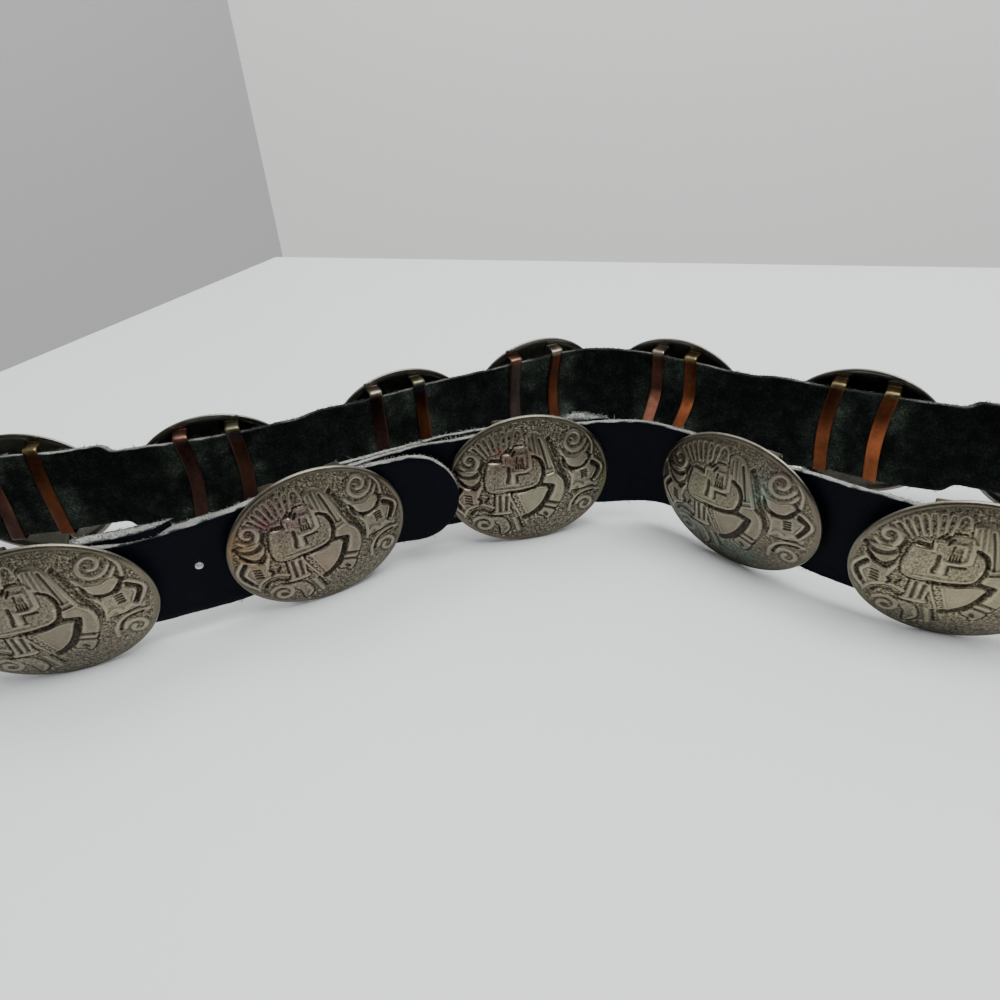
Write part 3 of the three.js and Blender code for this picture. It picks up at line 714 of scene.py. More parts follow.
# Stains on the faces: concho, middle and reach in shares of the half sizes, colour, strength
STAINS = [
    ("buckle_concho", (-0.86, 0.30), (0.20, 0.34), (0.235, 0.145, 0.072), 0.6),
    ("buckle_concho", (-0.62, 0.05), (0.30, 0.34), (0.245, 0.185, 0.11), 0.5),
    ("buckle_concho", (-0.40, 0.52), (0.42, 0.30), (0.17, 0.115, 0.105), 0.75),
    ("buckle_concho", (-0.52, 0.52), (0.10, 0.10), (0.20, 0.055, 0.06), 0.5),
    ("buckle_concho", (-0.30, -0.30), (0.55, 0.40), (0.225, 0.165, 0.12), 0.5),
    ("buckle_concho", (0.85, 0.35), (0.16, 0.3), (0.16, 0.12, 0.085), 0.6),
    ("concho_01", (-0.36, 0.56), (0.04, 0.05), (0.27, 0.03, 0.05), 0.85),
    ("concho_01", (-0.15, 0.42), (0.36, 0.20), (0.13, 0.07, 0.055), 0.75),
    ("concho_01", (0.94, -0.10), (0.08, 0.36), (0.22, 0.235, 0.09), 0.5),
    ("concho_01", (-0.70, -0.10), (0.2, 0.3), (0.20, 0.145, 0.11), 0.5),
    ("concho_01", (0.30, -0.10), (0.7, 0.9), (0.235, 0.22, 0.155), 0.5),
    ("concho_02", (0.35, 0.50), (0.16, 0.34), (0.16, 0.215, 0.175), 0.6),
    ("concho_02", (0.05, -0.68), (0.42, 0.24), (0.155, 0.205, 0.17), 0.65),
    ("concho_02", (-0.55, -0.55), (0.36, 0.34), (0.14, 0.165, 0.145), 0.6),
    ("concho_02", (-0.30, 0.15), (0.34, 0.30), (0.20, 0.20, 0.125), 0.6),
    ("concho_02", (0.45, 0.66), (0.22, 0.2), (0.145, 0.105, 0.09), 0.6),
    ("concho_03", (0.0, 0.0), (0.9, 0.9), (0.30, 0.265, 0.165), 0.6),
    ("concho_13", (0.6, 0.1), (0.5, 0.7), (0.28, 0.245, 0.175), 0.5),
]


def plate_paint(place, x, y, hollow, fields, lines):
    """Colours of a face: bright on what stands up, as polished wear and painted highlight, dark in what lies
    deep, with its stains.
    """
    seed = sum(map(ord, place["name"])) % 97
    tone = np.clip(0.56 - hollow * 3.4, 0, 1)
    base = blend_colours(SILVER_GROUND, SILVER_FIELD, np.clip(fields * 3, 0, 1))
    # Raised lines and parts painted brighter: polished wear and painted highlight
    base = blend_colours(base, SILVER_POLISH_AND_HIGHLIGHT, np.clip(lines * 1.2, 0, 1) * 0.34)
    colour = blend_colours(base, SILVER_POLISH_AND_HIGHLIGHT, np.clip(tone - 0.5, 0, 0.5) * 1.2)
    colour = blend_colours(colour, SILVER_DEEP, np.clip(0.5 - tone, 0, 0.5) * 1.95)
    patches = layers(x, y, 11, seed, 3)
    colour = colour * (1 + 0.16 * patches)[:, None]
    rough = layers(x, y, 2.4, seed + 5, 2)
    for name, middle, reach, stain, strength in STAINS:
        if name == place["name"]:
            away = np.hypot((x / HALF_WIDTH - middle[0]) / reach[0], (y / HALF_HEIGHT - middle[1]) / reach[1])
            share = strength * ease(1.25 - away + 0.35 * rough)
            shade = np.clip(colour.mean(1) / np.mean(SILVER_FIELD), 0.15, 1.4)
            colour = blend_colours(colour, np.array(stain) * shade[:, None], share)
    return colour


def concho_plate(place):
    """The domed plate: cast face, rounded rim and plain hollow back, in its own axes."""
    cells = place["cells"]
    gx, gy = disc_grid(cells)
    x, y = (gx * HALF_WIDTH).ravel(), (gy * HALF_HEIGHT).ravel()
    inset = 1 - RIM_ROUNDING / HALF_HEIGHT
    x, y = x * inset, y * inset
    fields, lines, cuts, rough = relief(x, y)
    reach = np.hypot(x / HALF_WIDTH, y / HALF_HEIGHT)
    ground = rough * ease((0.955 - reach) / 0.03) * (1 - 0.75 * place["wear"])
    worn = 1 - WEAR_SHARE * place["wear"]
    stipple = lattice(x, y, 0.62, 3) + 0.7 * lattice(x, y, 0.36, 8)
    heights = (fields * FIELD_SHARE + lines * LINE_SHARE - cuts) * worn
    heights = heights + ground * stipple * STIPPLE_HEIGHT
    heights = heights + WAVE_HEIGHT * layers(x, y, 6, 21)
    border = ease((reach - 0.945) / 0.02)
    heights = heights * (1 - border) + border * BORDER_HEIGHT
    grid = heights.reshape(cells + 1, cells + 1)
    hollow = (box_blur(grid, max(2, cells // 55)) - grid).ravel() + cuts * 0.25
    face = np.stack([x, y, dome_inside(x, y) + PLATE_THICKNESS + heights], 1)
    face_paint = plate_paint(place, x, y, hollow, fields, lines) * (1 - BORDER_SHADE * border)[:, None]
    face_paint *= (1 + STIPPLE_PAINT * np.clip(stipple, -1, 1) * ground)[:, None]
    paint = np.column_stack([face_paint, ground])

    edge = edge_of_grid(cells)
    count = len(edge)
    outward = np.stack([gx.ravel()[edge], gy.ravel()[edge]], 1)
    rim_rings = []
    half = PLATE_THICKNESS / 2
    for turn in np.radians([55, 20, -20, -60]):
        swell = inset + (RIM_ROUNDING / HALF_HEIGHT) * math.cos(turn)
        ring = outward * HALF_SIZES * swell
        height = dome_inside(*(ring.T * 0.999)) + half + half * math.sin(turn)
        rim_rings.append(np.column_stack([ring, height]))
    for share in (0.986, 0.942, 0.928, 0.89, 0.82, 0.66, 0.46, 0.22):
        ring = outward * HALF_SIZES * share
        dent = 0.09 * layers(ring[:, 0], ring[:, 1], 5, 31)
        level = dent * 0.3 if share > BACK_LIP else dome_inside(*ring.T) + dent
        rim_rings.append(np.column_stack([ring, level]))
    points = np.vstack([face, *rim_rings, [[0, 0, DOME_DEPTH]]])
    row = cells + 1
    faces = [
        (j * row + i, j * row + i + 1, (j + 1) * row + i + 1, (j + 1) * row + i)
        for j in range(cells)
        for i in range(cells)
    ]
    starts = [len(face) + k * count for k in range(len(rim_rings))]
    rings = [edge] + [list(range(start, start + count)) for start in starts]
    for near_ring, far_ring in zip(rings[:-1], rings[1:]):
        for i in range(count):
            j = (i + 1) % count
            faces.append((near_ring[i], far_ring[i], far_ring[j], near_ring[j]))
    last = len(points) - 1
    faces += [(rings[-1][i], last, rings[-1][(i + 1) % count]) for i in range(count)]
    back = points[len(face) :]
    cloud = 0.5 + 0.5 * layers(back[:, 0], back[:, 1], 8, 41)
    back_paint = blend_colours(np.array(SILVER_BACK) * 0.6, np.array(SILVER_BACK) * 1.5, np.clip(cloud, 0, 1))
    back_paint[: 3 * count] = SILVER_RIM
    back_paint[3 * count : 6 * count] = SILVER_LIP
    back_paint = np.column_stack([back_paint, np.zeros(len(back_paint))])
    return points, faces, np.vstack([paint, back_paint])


# Where a concho stands
def axes_of(place, roll=0.0):
    """Columns: along the strap, up the oval, out of the face."""
    heading, lean, turn = (math.radians(v) for v in (place["heading"], place["lean"], roll))
    along = np.array((math.cos(heading), math.sin(heading), 0))
    outward = np.array((math.sin(heading), -math.cos(heading), 0))
    upright = np.array((0, 0, 1.0))
    up = upright * math.cos(lean) + outward * math.sin(lean)
    out = outward * math.cos(lean) - upright * math.sin(lean)
    rolled = along * math.cos(turn) + up * math.sin(turn)
    rolled_up = up * math.cos(turn) - along * math.sin(turn)
    return np.stack([rolled, rolled_up, out], 1)


def centre_of(place):
    x = place["x"] * CONCHO_WIDTH + PLAN_SHIFT[0]
    y = place["y"] * CONCHO_WIDTH + PLAN_SHIFT[1]
    return np.array((x, y, HALF_HEIGHT))


def concho_matrix(place, points):
    """Stands a concho at its place with its lowest point on the floor."""
    axes = axes_of(place, place["roll"])
    centre = centre_of(place)
    centre[2] -= (points @ axes.T)[:, 2].min() + centre[2]
    matrix = Matrix.Identity(4)
    for i in range(3):
        for j in range(3):
            matrix[i][j] = axes[i, j]
        matrix[i][3] = centre[i] * MM
    return matrix


# Copper loops
COPPER = (0.27, 0.082, 0.031)
COPPER_PINK = (0.27, 0.108, 0.068)
COPPER_MAUVE = (0.27, 0.118, 0.088)
COPPER_GREY = (0.26, 0.175, 0.15)
COPPER_BLUE = (0.03, 0.05, 0.09)
TAB_BRASS = (0.30, 0.22, 0.105)
TAB_OLIVE = (0.22, 0.215, 0.13)
TAB_BEIGE = (0.40, 0.33, 0.26)
TAB_RED = (0.30, 0.15, 0.105)
FULL_LOOP_SHADE = 0.5
# Distances down a strip, in millimetres, where its painted sheen and shade are given
PAINTED_SHEEN_AT = (3, 9, 15, 21, 27)

# The two copper strips of a concho, first the one before its middle along the strap: colours of the
# top and the strip, a blue bend or not, its shift, its bow and its lean below the middle in
# millimetres along the strap, and its painted sheen and shade: how bright the strip is at the distances down
# it listed just above
LOOP_LOOKS = {
    "concho_06": [
        (TAB_BRASS, COPPER, 0, 1.0, 1.4, 0.0, (0.4, 0.3, 0.8, 1.0, 0.7)),
        (TAB_BRASS, COPPER, 0, 1.2, 1.6, 0.0, (0.22, 0.15, 0.34, 0.52, 0.42)),
    ],
    "concho_07": [
        (TAB_BRASS, COPPER, 0, 2.2, -1.0, 3.4, (0.26, 0.36, 0.42, 1.2, 0.6)),
        (TAB_BEIGE, COPPER_PINK, 0, -1.7, -0.4, 2.8, (0.24, 0.26, 0.14, 0.95, 1.1)),
    ],
    "concho_08": [
        (TAB_BEIGE, COPPER, 0, 1.3, 2.0, 0.0, (0.22, 0.18, 0.24, 0.28, 0.26)),
        (TAB_RED, COPPER_GREY, 0, 1.9, 1.5, 0.4, (0.22, 0.12, 0.15, 0.17, 0.12)),
    ],
    "concho_09": [
        (TAB_OLIVE, COPPER, 1, 1.5, 0.0, 0.0, (0.08, 0.16, 0.28, 0.26, 0.06)),
        (TAB_BEIGE, COPPER_MAUVE, 0, 1.3, 0.3, 0.0, (0.10, 0.08, 0.14, 0.14, 0.06)),
    ],
    "concho_10": [
        (TAB_OLIVE, COPPER_PINK, 1, -0.3, -0.9, 1.2, (0.26, 0.23, 0.18, 0.16, 0.09)),
        (TAB_RED, COPPER_MAUVE, 0, -0.3, -0.9, 1.5, (0.14, 0.13, 0.13, 0.14, 0.13)),
    ],
}
PLAIN_LOOPS = [
    (TAB_BRASS, COPPER, 0, 0.2, 0.4, 0.0, (0.25, 0.2, 0.3, 0.4, 0.3)),
    (TAB_OLIVE, COPPER_MAUVE, 1, 0.0, -0.3, 0.5, (0.2, 0.2, 0.25, 0.3, 0.2)),
]
LOOP_DROPS = {"concho_06": 0.9}

# A strip's section: across it and through it, in shares of its half width and half thickness
STRIP_SECTION = [
    (-1, 0), (-0.93, 0.8), (-0.6, 1), (0, 1.06), (0.6, 1), (0.93, 0.8),
    (1, 0), (0.93, -0.8), (0.6, -1), (0, -1), (-0.6, -1), (-0.93, -0.8),
]


def tube_faces(rings, count):
    """Faces of a closed tube of rings with the same count of points, and of its two ends."""
    faces = [
        (k * count + i, k * count + (i + 1) % count, (k + 1) * count + (i + 1) % count, (k + 1) * count + i)
        for k in range(rings - 1)
        for i in range(count)
    ]
    return faces + [tuple(reversed(range(count))), tuple(range((rings - 1) * count, rings * count))]


def rounded_path(corners, radius, steps=5):
    """Rounds the inner corners of a line of straight runs."""
    corners = [np.array(c, float) for c in corners]
    path = [corners[0]]
    for a, b, c in zip(corners[:-2], corners[1:-1], corners[2:]):
        room = min(radius, np.linalg.norm(a - b) * 0.45, np.linalg.norm(c - b) * 0.45)
        start = b + (a - b) / np.linalg.norm(a - b) * room
        end = b + (c - b) / np.linalg.norm(c - b) * room
        for t in np.linspace(0, 1, steps + 1):
            path.append(start * (1 - t) ** 2 + 2 * b * t * (1 - t) + end * t**2)
    path.append(corners[-1])
    return np.array(path)


def resample(path, spacing):
    steps = np.hypot(*np.diff(path, axis=0).T)
    length = np.concatenate([[0], np.cumsum(steps)])
    at = np.linspace(0, length[-1], max(2, int(length[-1] / spacing)) + 1)
    return np.stack([np.interp(at, length, path[:, k]) for k in range(2)], 1), at


def loop_band(across, depth, room_above, look, drop, seed):
    """One copper strip, bent round the strap and soldered to the plate above and below it."""
    outer_side = abs(across) + LOOP_WIDTH / 2
    above = STRAP_LIFT + STRAP_WIDTH / 2 + room_above + LOOP_METAL / 2
    below = STRAP_LIFT - STRAP_WIDTH / 2 - LOOP_ROOM_BELOW - LOOP_METAL / 2
    back = -(depth + LOOP_CLEARANCE + LOOP_METAL / 2)

    def seat(height):
        level = float(dome_inside(np.float64(outer_side), np.float64(height)))
        return level + PLATE_THICKNESS * LOOP_SEAT - LOOP_METAL / 2

    foot_top = above + LOOP_FOOT
    foot_low = below - LOOP_FOOT
    corners = [
        (seat(foot_top), foot_top),
        (seat(above), above),
        (back, above),
        (back, below),
        (seat(below), below),
        (seat(foot_low), foot_low),
    ]
    path, length = resample(rounded_path(corners, LOOP_BEND), 0.55)
    way = np.gradient(path, axis=0)
    way /= np.linalg.norm(way, axis=1, keepdims=True)
    normal = np.stack([-way[:, 1], way[:, 0]], 1)
    wobble = 0.12 * lattice(length, length * 0 + seed, 6, seed)
    _, _, _, shift, bow, lean, _ = look
    down = np.clip((above - path[:, 1]) / (above - below), 0, 1)
    sway = shift + bow * np.sin(math.pi * down) + lean * ease((down - 0.4) / 0.6)
    half = LOOP_WIDTH / 2 * (1 + 0.03 * lattice(length, length * 0 + seed * 2, 9, seed + 1))
    points = []
    for at, away, wide, dent, swing in zip(path, normal, half, wobble, sway):
        for side, thick in STRIP_SECTION:
            out, up = at + away * (thick * LOOP_METAL / 2 + dent * (1 - abs(side)))
            points.append((across + swing + side * wide, up - drop, out))
    count = len(STRIP_SECTION)
    faces = tube_faces(len(path), count)
    points = np.array(points)
    bend = LOOP_FOOT + seat(above) - back
    paint = loop_paint(points, look, seed, above - drop, np.repeat(length, count), bend)
    if room_above < LOOP_ROOM_ABOVE:
        paint = paint * FULL_LOOP_SHADE
    return points, faces, paint


def loop_paint(points, look, seed, above, run, bend):
    """Heat tarnish colours with painted light: a pale top with painted highlights on its bends, and below it
    the strip's own browns and reds under painted sheen and shade.
    """
    tab_tone, strip_tone, blue, _, _, _, glow = look
    up = points[:, 1]
    noise = layers(points[:, 0] * 1.5, up, 5, seed, 3)
    down = above - up + noise * 1.6
    edge = layers(points[:, 0] * 4, up * 0.3, 3, seed + 4, 2)
    # Painted sheen and shade down the strip, with random tone
    strength = np.interp(down, PAINTED_SHEEN_AT, glow) * (1 + 0.35 * noise + 0.3 * edge)
    base = np.array(strip_tone) * np.clip(strength, 0.02, 1.3)[:, None]
    base = blend_colours(base, COPPER_BLUE, ease(1 - np.abs(down - 2.8) / 1.8) * 0.6 * blue)
    # Painted highlights on the bends at the foot and at the top
    lines = np.maximum(ease(1.4 - np.abs(run - LOOP_FOOT) / 0.5), ease(1.5 - np.abs(run - bend) / 0.6))
    tab = np.array(tab_tone) * (0.3 + 0.7 * lines)[:, None]
    return blend_colours(base, tab, ease((bend + 1.6 - run) / 1.0))


def concho_loops(depth, spacing, room_above, looks, drop, seed):
    points, faces, paint = [], [], []
    for side, look in zip((-1, 1), looks):
        across = side * spacing / 2
        band, band_faces, band_paint = loop_band(across, depth, room_above, look, drop, seed + side)
        start = sum(len(p) for p in points)
        points.append(band)
        paint.append(band_paint)
        faces += [tuple(start + i for i in face) for face in band_faces]
    materials = np.zeros(len(faces), np.int32)
    for side, look in zip((-1, 1), looks):
        for level in (1, -1):
            shift = look[3] + (look[5] if level < 0 else 0)
            blob, blob_faces = solder_blob(side * spacing / 2 + shift, level, room_above, drop, seed)
            start = sum(len(p) for p in points)
            points.append(blob)
            paint.append(np.full((len(blob), 3), 0.2))
            faces += [tuple(start + i for i in face) for face in blob_faces]
            materials = np.append(materials, np.ones(len(blob_faces), np.int32))
    return np.vstack(points), faces, np.vstack(paint), materials


def solder_blob(across, level, room_above, drop, seed):
    """A flat drop of solder over the foot of a strip, on the plate's hollow side."""
    rows, columns = 6, 14
    height = STRAP_LIFT + level * (STRAP_WIDTH / 2 + LOOP_FOOT + LOOP_METAL)
    height += (room_above if level > 0 else -LOOP_ROOM_BELOW) - drop
    points = []
    for row in range(rows + 1):
        lift = math.pi * row / rows
        for column in range(columns):
            turn = 2 * math.pi * column / columns
            swell = 1 + 0.18 * math.sin(3 * turn + seed + level)
            x = across + 2.9 * swell * math.sin(lift) * math.cos(turn)
            y = height + 0.95 * swell * math.sin(lift) * math.sin(turn)
            out = float(dome_inside(np.float64(x), np.float64(y))) + 0.1 - 0.55 * math.cos(lift)
            points.append((x, y, out))
    return np.array(points), tube_faces(rows + 1, columns)


# The straps' lines in plan
def stop_at(place, along=0.0, behind=0.0, turn=0.0, hold=0.0):
    at = axes_of(place) @ np.array((along, STRAP_LIFT, -behind)) + centre_of(place)
    lean = place["lean"] * math.cos(math.radians(turn))
    heading = place["heading"] + turn
    return {"name": place["name"], "x": at[0], "y": at[1], "heading": heading, "lean": lean, "hold": hold}


def ahead(stop, distance):
    heading = math.radians(stop["heading"])
    x = stop["x"] + math.cos(heading) * distance
    y = stop["y"] + math.sin(heading) * distance
    return {**stop, "x": x, "y": y}


def turn_between(start, end):
    return (end - start + 180) % 360 - 180


def hermite(start, end, turn, pull, t):
    a, b = math.radians(start["heading"]), math.radians(end["heading"])
    h0, h2 = 2 * t**3 - 3 * t**2 + 1, 3 * t**2 - 2 * t**3
    h1, h3 = (t**3 - 2 * t**2 + t) * pull, (t**3 - t**2) * pull
    slope, s1, s3 = 6 * t**2 - 6 * t, (3 * t**2 - 4 * t + 1) * pull, (3 * t**2 - 2 * t) * pull
    dx = slope * (start["x"] - end["x"]) + s1 * math.cos(a) + s3 * math.cos(b)
    dy = slope * (start["y"] - end["y"]) + s1 * math.sin(a) + s3 * math.sin(b)
    return {
        "x": h0 * start["x"] + h1 * math.cos(a) + h2 * end["x"] + h3 * math.cos(b),
        "y": h0 * start["y"] + h1 * math.sin(a) + h2 * end["y"] + h3 * math.sin(b),
        "heading": math.degrees(math.atan2(dy, dx)),
        "lean": start["lean"] + (end["lean"] - start["lean"]) * h2,
    }


def with_lengths(points):
    """Adds to each point its distance along the line."""
    line, length = [], 0.0
    for point in points:
        if line:
            length += math.hypot(point["x"] - line[-1]["x"], point["y"] - line[-1]["y"])
        line.append({**point, "length": length})
    return line


def run_through(stops):
    """Runs a strap through its stops: straight beside each one, a smooth cubic between them."""
    points = []
    for index, stop in enumerate(stops):
        if index:
            start, end = ahead(stops[index - 1], stops[index - 1]["hold"]), ahead(stop, -stop["hold"])
            turn = turn_between(start["heading"], end["heading"])
            chord = math.hypot(end["x"] - start["x"], end["y"] - start["y"])
            pull = chord / math.cos(math.radians(turn) / 4) ** 2
            steps = max(2, round(chord / RING_SPACING))
            points += [hermite(start, end, turn, pull, k / steps) for k in range(1, steps + 1)]
        else:
            points.append(ahead(stop, -stop["hold"]))
        if stop["hold"] > 0:
            steps = round(2 * stop["hold"] / RING_SPACING)
            points += [ahead(stop, stop["hold"] * (2 * k / steps - 1)) for k in range(1, steps + 1)]
    return with_lengths(points)


def middle_of(line, stop):
    return [p for p in line if p.get("name") == stop["name"]][-1]["length"] - stop["hold"]


def point_on(line, distance):
    after = next(i for i, p in enumerate(line) if p["length"] >= distance)
    a, b = line[after - 1], line[after]
    t = (distance - a["length"]) / max(b["length"] - a["length"], 1e-9)
    return {
        "x": a["x"] + (b["x"] - a["x"]) * t,
        "y": a["y"] + (b["y"] - a["y"]) * t,
        "heading": a["heading"] + turn_between(a["heading"], b["heading"]) * t,
        "lean": a["lean"] + (b["lean"] - a["lean"]) * t,
        "hold": 0.0,
    }


def beside(line, distance, inward):
    at = point_on(line, distance)
    heading = math.radians(at["heading"])
    return {**at, "x": at["x"] - math.sin(heading) * inward, "y": at["y"] + math.cos(heading) * inward}


def rim_stop(place, side, turn):
    return stop_at(place, along=side * HALF_WIDTH, behind=RIM_CLEARANCE + MAIN_THICKNESS / 2, turn=turn)


def edge_stops(start, end):
    """Where the strap bends towards the faces, it bends round the backs of the rims."""
    turn = turn_between(start["heading"], end["heading"]) if end else 0
    if turn >= 0:
        return []
    return [rim_stop(start, 1, turn * RIM_TURN), rim_stop(end, -1, -turn * RIM_TURN)]


def reversed_stop(stop):
    return {**stop, "heading": stop["heading"] + 180, "lean": -stop["lean"]}


buckle, first, splice = places[0], places[1], places[-1]
hold_length = LOOP_SPACING / 2 + LOOP_WIDTH / 2
buckle_hold = BUCKLE_LOOP_SPACING / 2 + LOOP_WIDTH / 2


def tail_line():
    behind = STRAP_BEHIND_RIM + TAIL_THICKNESS / 2
    tip_along = -HALF_WIDTH + TIP_PAST
    tip_in_front = dome_inside(tip_along, 0) + PLATE_THICKNESS + TIP_CLEARANCE + TAIL_THICKNESS / 2
    return run_through([
        stop_at(splice, along=-TAIL_START, behind=behind + TAIL_STAND_OFF, turn=TAIL_SPLAY),
        stop_at(splice, behind=behind, hold=hold_length),
        stop_at(buckle, behind=behind, hold=buckle_hold),
        stop_at(first, along=tip_along - TIP_LENGTH, behind=-tip_in_front),
    ])


tail_body = tail_line()
splice_middle = middle_of(tail_body, {"name": splice["name"], "hold": hold_length})
buckle_ply = STRAP_BEHIND_RIM + TAIL_THICKNESS + PLY_GAP


def main_line():
    behind = STRAP_BEHIND_RIM + MAIN_THICKNESS / 2
    inner = buckle_ply + MAIN_THICKNESS / 2
    outer = inner + MAIN_THICKNESS + LOOP_METAL + LOOP_CLEARANCE * 2
    fold_along = BUCKLE_LOOP_SPACING / 2 - LOOP_WIDTH / 2 - FOLD_SLACK
    around = places[1:-1]

    def loop_stop(place):
        return stop_at(place, behind=behind, hold=hold_length)

    first_run = run_through([loop_stop(first), *edge_stops(first, around[1]), loop_stop(around[1])])
    end_beside = (MAIN_THICKNESS + CUT_END) / 2 + PLY_GAP
    back_run = run_through([
        reversed_stop(beside(first_run, hold_length + RETURN_END, end_beside)),
        reversed_stop(stop_at(first, behind=RETURN_PLY_DEPTH + MAIN_THICKNESS / 2, hold=hold_length)),
        stop_at(buckle, along=fold_along, behind=outer, turn=180),
    ])
    centre, radius = (inner + outer) / 2, (outer - inner) / 2
    fold = []
    for swing in np.linspace(0, math.pi, 9)[1:-1]:
        fold.append(stop_at(
            buckle,
            along=fold_along - radius * math.sin(swing),
            behind=centre + radius * math.cos(swing),
            turn=180 + math.degrees(swing),
        ))
    loop_stops = [loop_stop(around[0]), *edge_stops(around[0], around[1])]
    for place, after in zip(around[1:], around[2:] + [None]):
        loop_stops += [loop_stop(place), *edge_stops(place, after)]
    round_run = run_through([
        stop_at(buckle, along=fold_along, behind=inner),
        rim_stop(first, -1, 0),
        *loop_stops,
        stop_at(splice, behind=SPLICE_PLY_DEPTH + MAIN_THICKNESS / 2, hold=hold_length),
        beside(tail_body, splice_middle + SPLICE_END, (TAIL_THICKNESS + CUT_END) / 2 + PLY_GAP),
    ])
    return with_lengths([*back_run, *fold, *round_run])


# Cut edge colours: the dark one is the dark rim of the cut by the dyed faces and also the painted shade of
# the edges behind
LEATHER_EDGE = (0.36, 0.365, 0.34)
LEATHER_EDGE_DARK = (0.022, 0.026, 0.023)
FLESH = (0.0082, 0.0110, 0.0092)
FLESH_RUBBED = (0.060, 0.076, 0.060)


def strap_section(thickness, height):
    """Points round a strap's section: across it, up it, and the face that follows each point."""
    grain, flesh, cut = 14, 28, 9
    rounding = min(0.35, thickness * 0.2)
    half, tall = thickness / 2, height / 2
    section = []
    for k in range(grain):
        section.append((half, (-1 + 2 * k / grain) * (tall - rounding), 0))
    for k in range(cut):
        turn = math.pi * k / cut
        section.append((half * math.cos(turn), tall - rounding + rounding * math.sin(turn), 1))
    for k in range(flesh):
        section.append((-half, (1 - 2 * k / flesh) * (tall - rounding), 2))
    for k in range(cut):
        turn = math.pi + math.pi * k / cut
        section.append((half * math.cos(turn), -(tall - rounding) + rounding * math.sin(turn), 1))
    return section


def strap_axes(point):
    """Ways along a strap, level out of its face and up it, and its lean, at a point of its line."""
    heading, lean = math.radians(point["heading"]), math.radians(point["lean"])
    outward = np.array((math.sin(heading), -math.cos(heading), 0))
    along = np.array((math.cos(heading), math.sin(heading), 0))
    return along, outward, np.array((0, 0, math.cos(lean))) + outward * math.sin(lean), lean


def strap_mesh(line, thickness_at, height_at, seed, rubbed, edge_light_at, drop_at, swell_at):
    """The leather of a strap: smooth outside, napped inside and rough cut edges."""
    points, paint = [], []
    for point in line:
        _, outward, up, lean = strap_axes(point)
        length = point["length"]
        face = outward * math.cos(lean) - np.array((0, 0, math.sin(lean)))
        section = np.array(strap_section(thickness_at(length), height_at(length)))
        across, level, kind = section.T
        kinds = kind.astype(int)
        where = np.full(len(section), length)
        nap = layers(where, level, 2.2, seed, 2) * 0.11 + layers(where, level, 14, seed + 3, 2) * 0.12
        skin = layers(where, level, 18, seed + 5, 2) * 0.10
        rough = layers(where, across * 2, 2.3, seed + 7, 2) * 0.13
        wave = 0.35 * lattice(length, 0.0, 26, seed + 9) + 0.12 * lattice(length, 0.0, 7, seed + 10)
        is_cut = kinds == 1
        push = np.where(kinds == 0, skin, 0) - np.where(kinds == 2, nap, 0)
        swell_out, swell_in = swell_at(length)
        push = push + swell_out * (0.5 + across / thickness_at(length))
        push = push - swell_in * (0.5 - across / thickness_at(length))
        lift = wave * level / STRAP_WIDTH * 2 + np.where(is_cut, np.sign(level) * rough, 0)
        upper_drop, lower_drop = drop_at(length)
        lift = lift - upper_drop * (0.5 + level / STRAP_WIDTH) - lower_drop * (0.5 - level / STRAP_WIDTH)
        centre = np.array((point["x"], point["y"], STRAP_MIDDLE))
        points.append(centre + np.outer(across + push, face) + np.outer(level + lift, up))
        tone = layers(where, level, 9, seed + 13, 3)
        worn = sum((ease(1.2 - abs(length - at) / 8 + 0.4 * tone) for at in rubbed), np.zeros(len(section)))
        flesh = blend_colours(FLESH, FLESH_RUBBED, np.clip(worn * (0.3 + 0.6 * tone), 0, 1))
        share = across / (thickness_at(length) / 2)
        spots = layers(where, across * 3, 1.9, seed + 15, 2)
        core = ease((0.88 - np.abs(share - 0.12) + spots * 0.45) / 0.3)
        # The cut edge's paleness is painted light and shade, lighter in front and darker behind, with random
        # tone
        pale = np.clip(edge_light_at(length) + 0.55 * layers(where, across, 9, seed + 16, 2), 0.0, 1)
        edge = blend_colours(LEATHER_EDGE_DARK, LEATHER_EDGE, core * pale)
        paint.append(np.where(is_cut[:, None], edge, flesh))
    count = len(kinds)
    rings = len(line)
    faces = [
        (k * count + i, (k + 1) * count + i, (k + 1) * count + (i + 1) % count, k * count + (i + 1) % count)
        for k in range(rings - 1)
        for i in range(count)
    ]
    slots = [{0: 0, 1: 2, 2: 1}[kind] for kind in kinds] * (rings - 1)
    all_points = np.vstack(points)
    all_paint = np.vstack(paint)
    for ring, flip in ((0, False), (rings - 1, True)):
        ids = list(range(ring * count, (ring + 1) * count))
        hub = len(all_points)
        all_points = np.vstack([all_points, all_points[ids].mean(0)])
        all_paint = np.vstack([all_paint, LEATHER_EDGE])
        for i in range(count):
            a, b = ids[i], ids[(i + 1) % count]
            faces.append((hub, b, a) if flip else (hub, a, b))
            slots.append(2)
    return all_points, faces, all_paint, slots


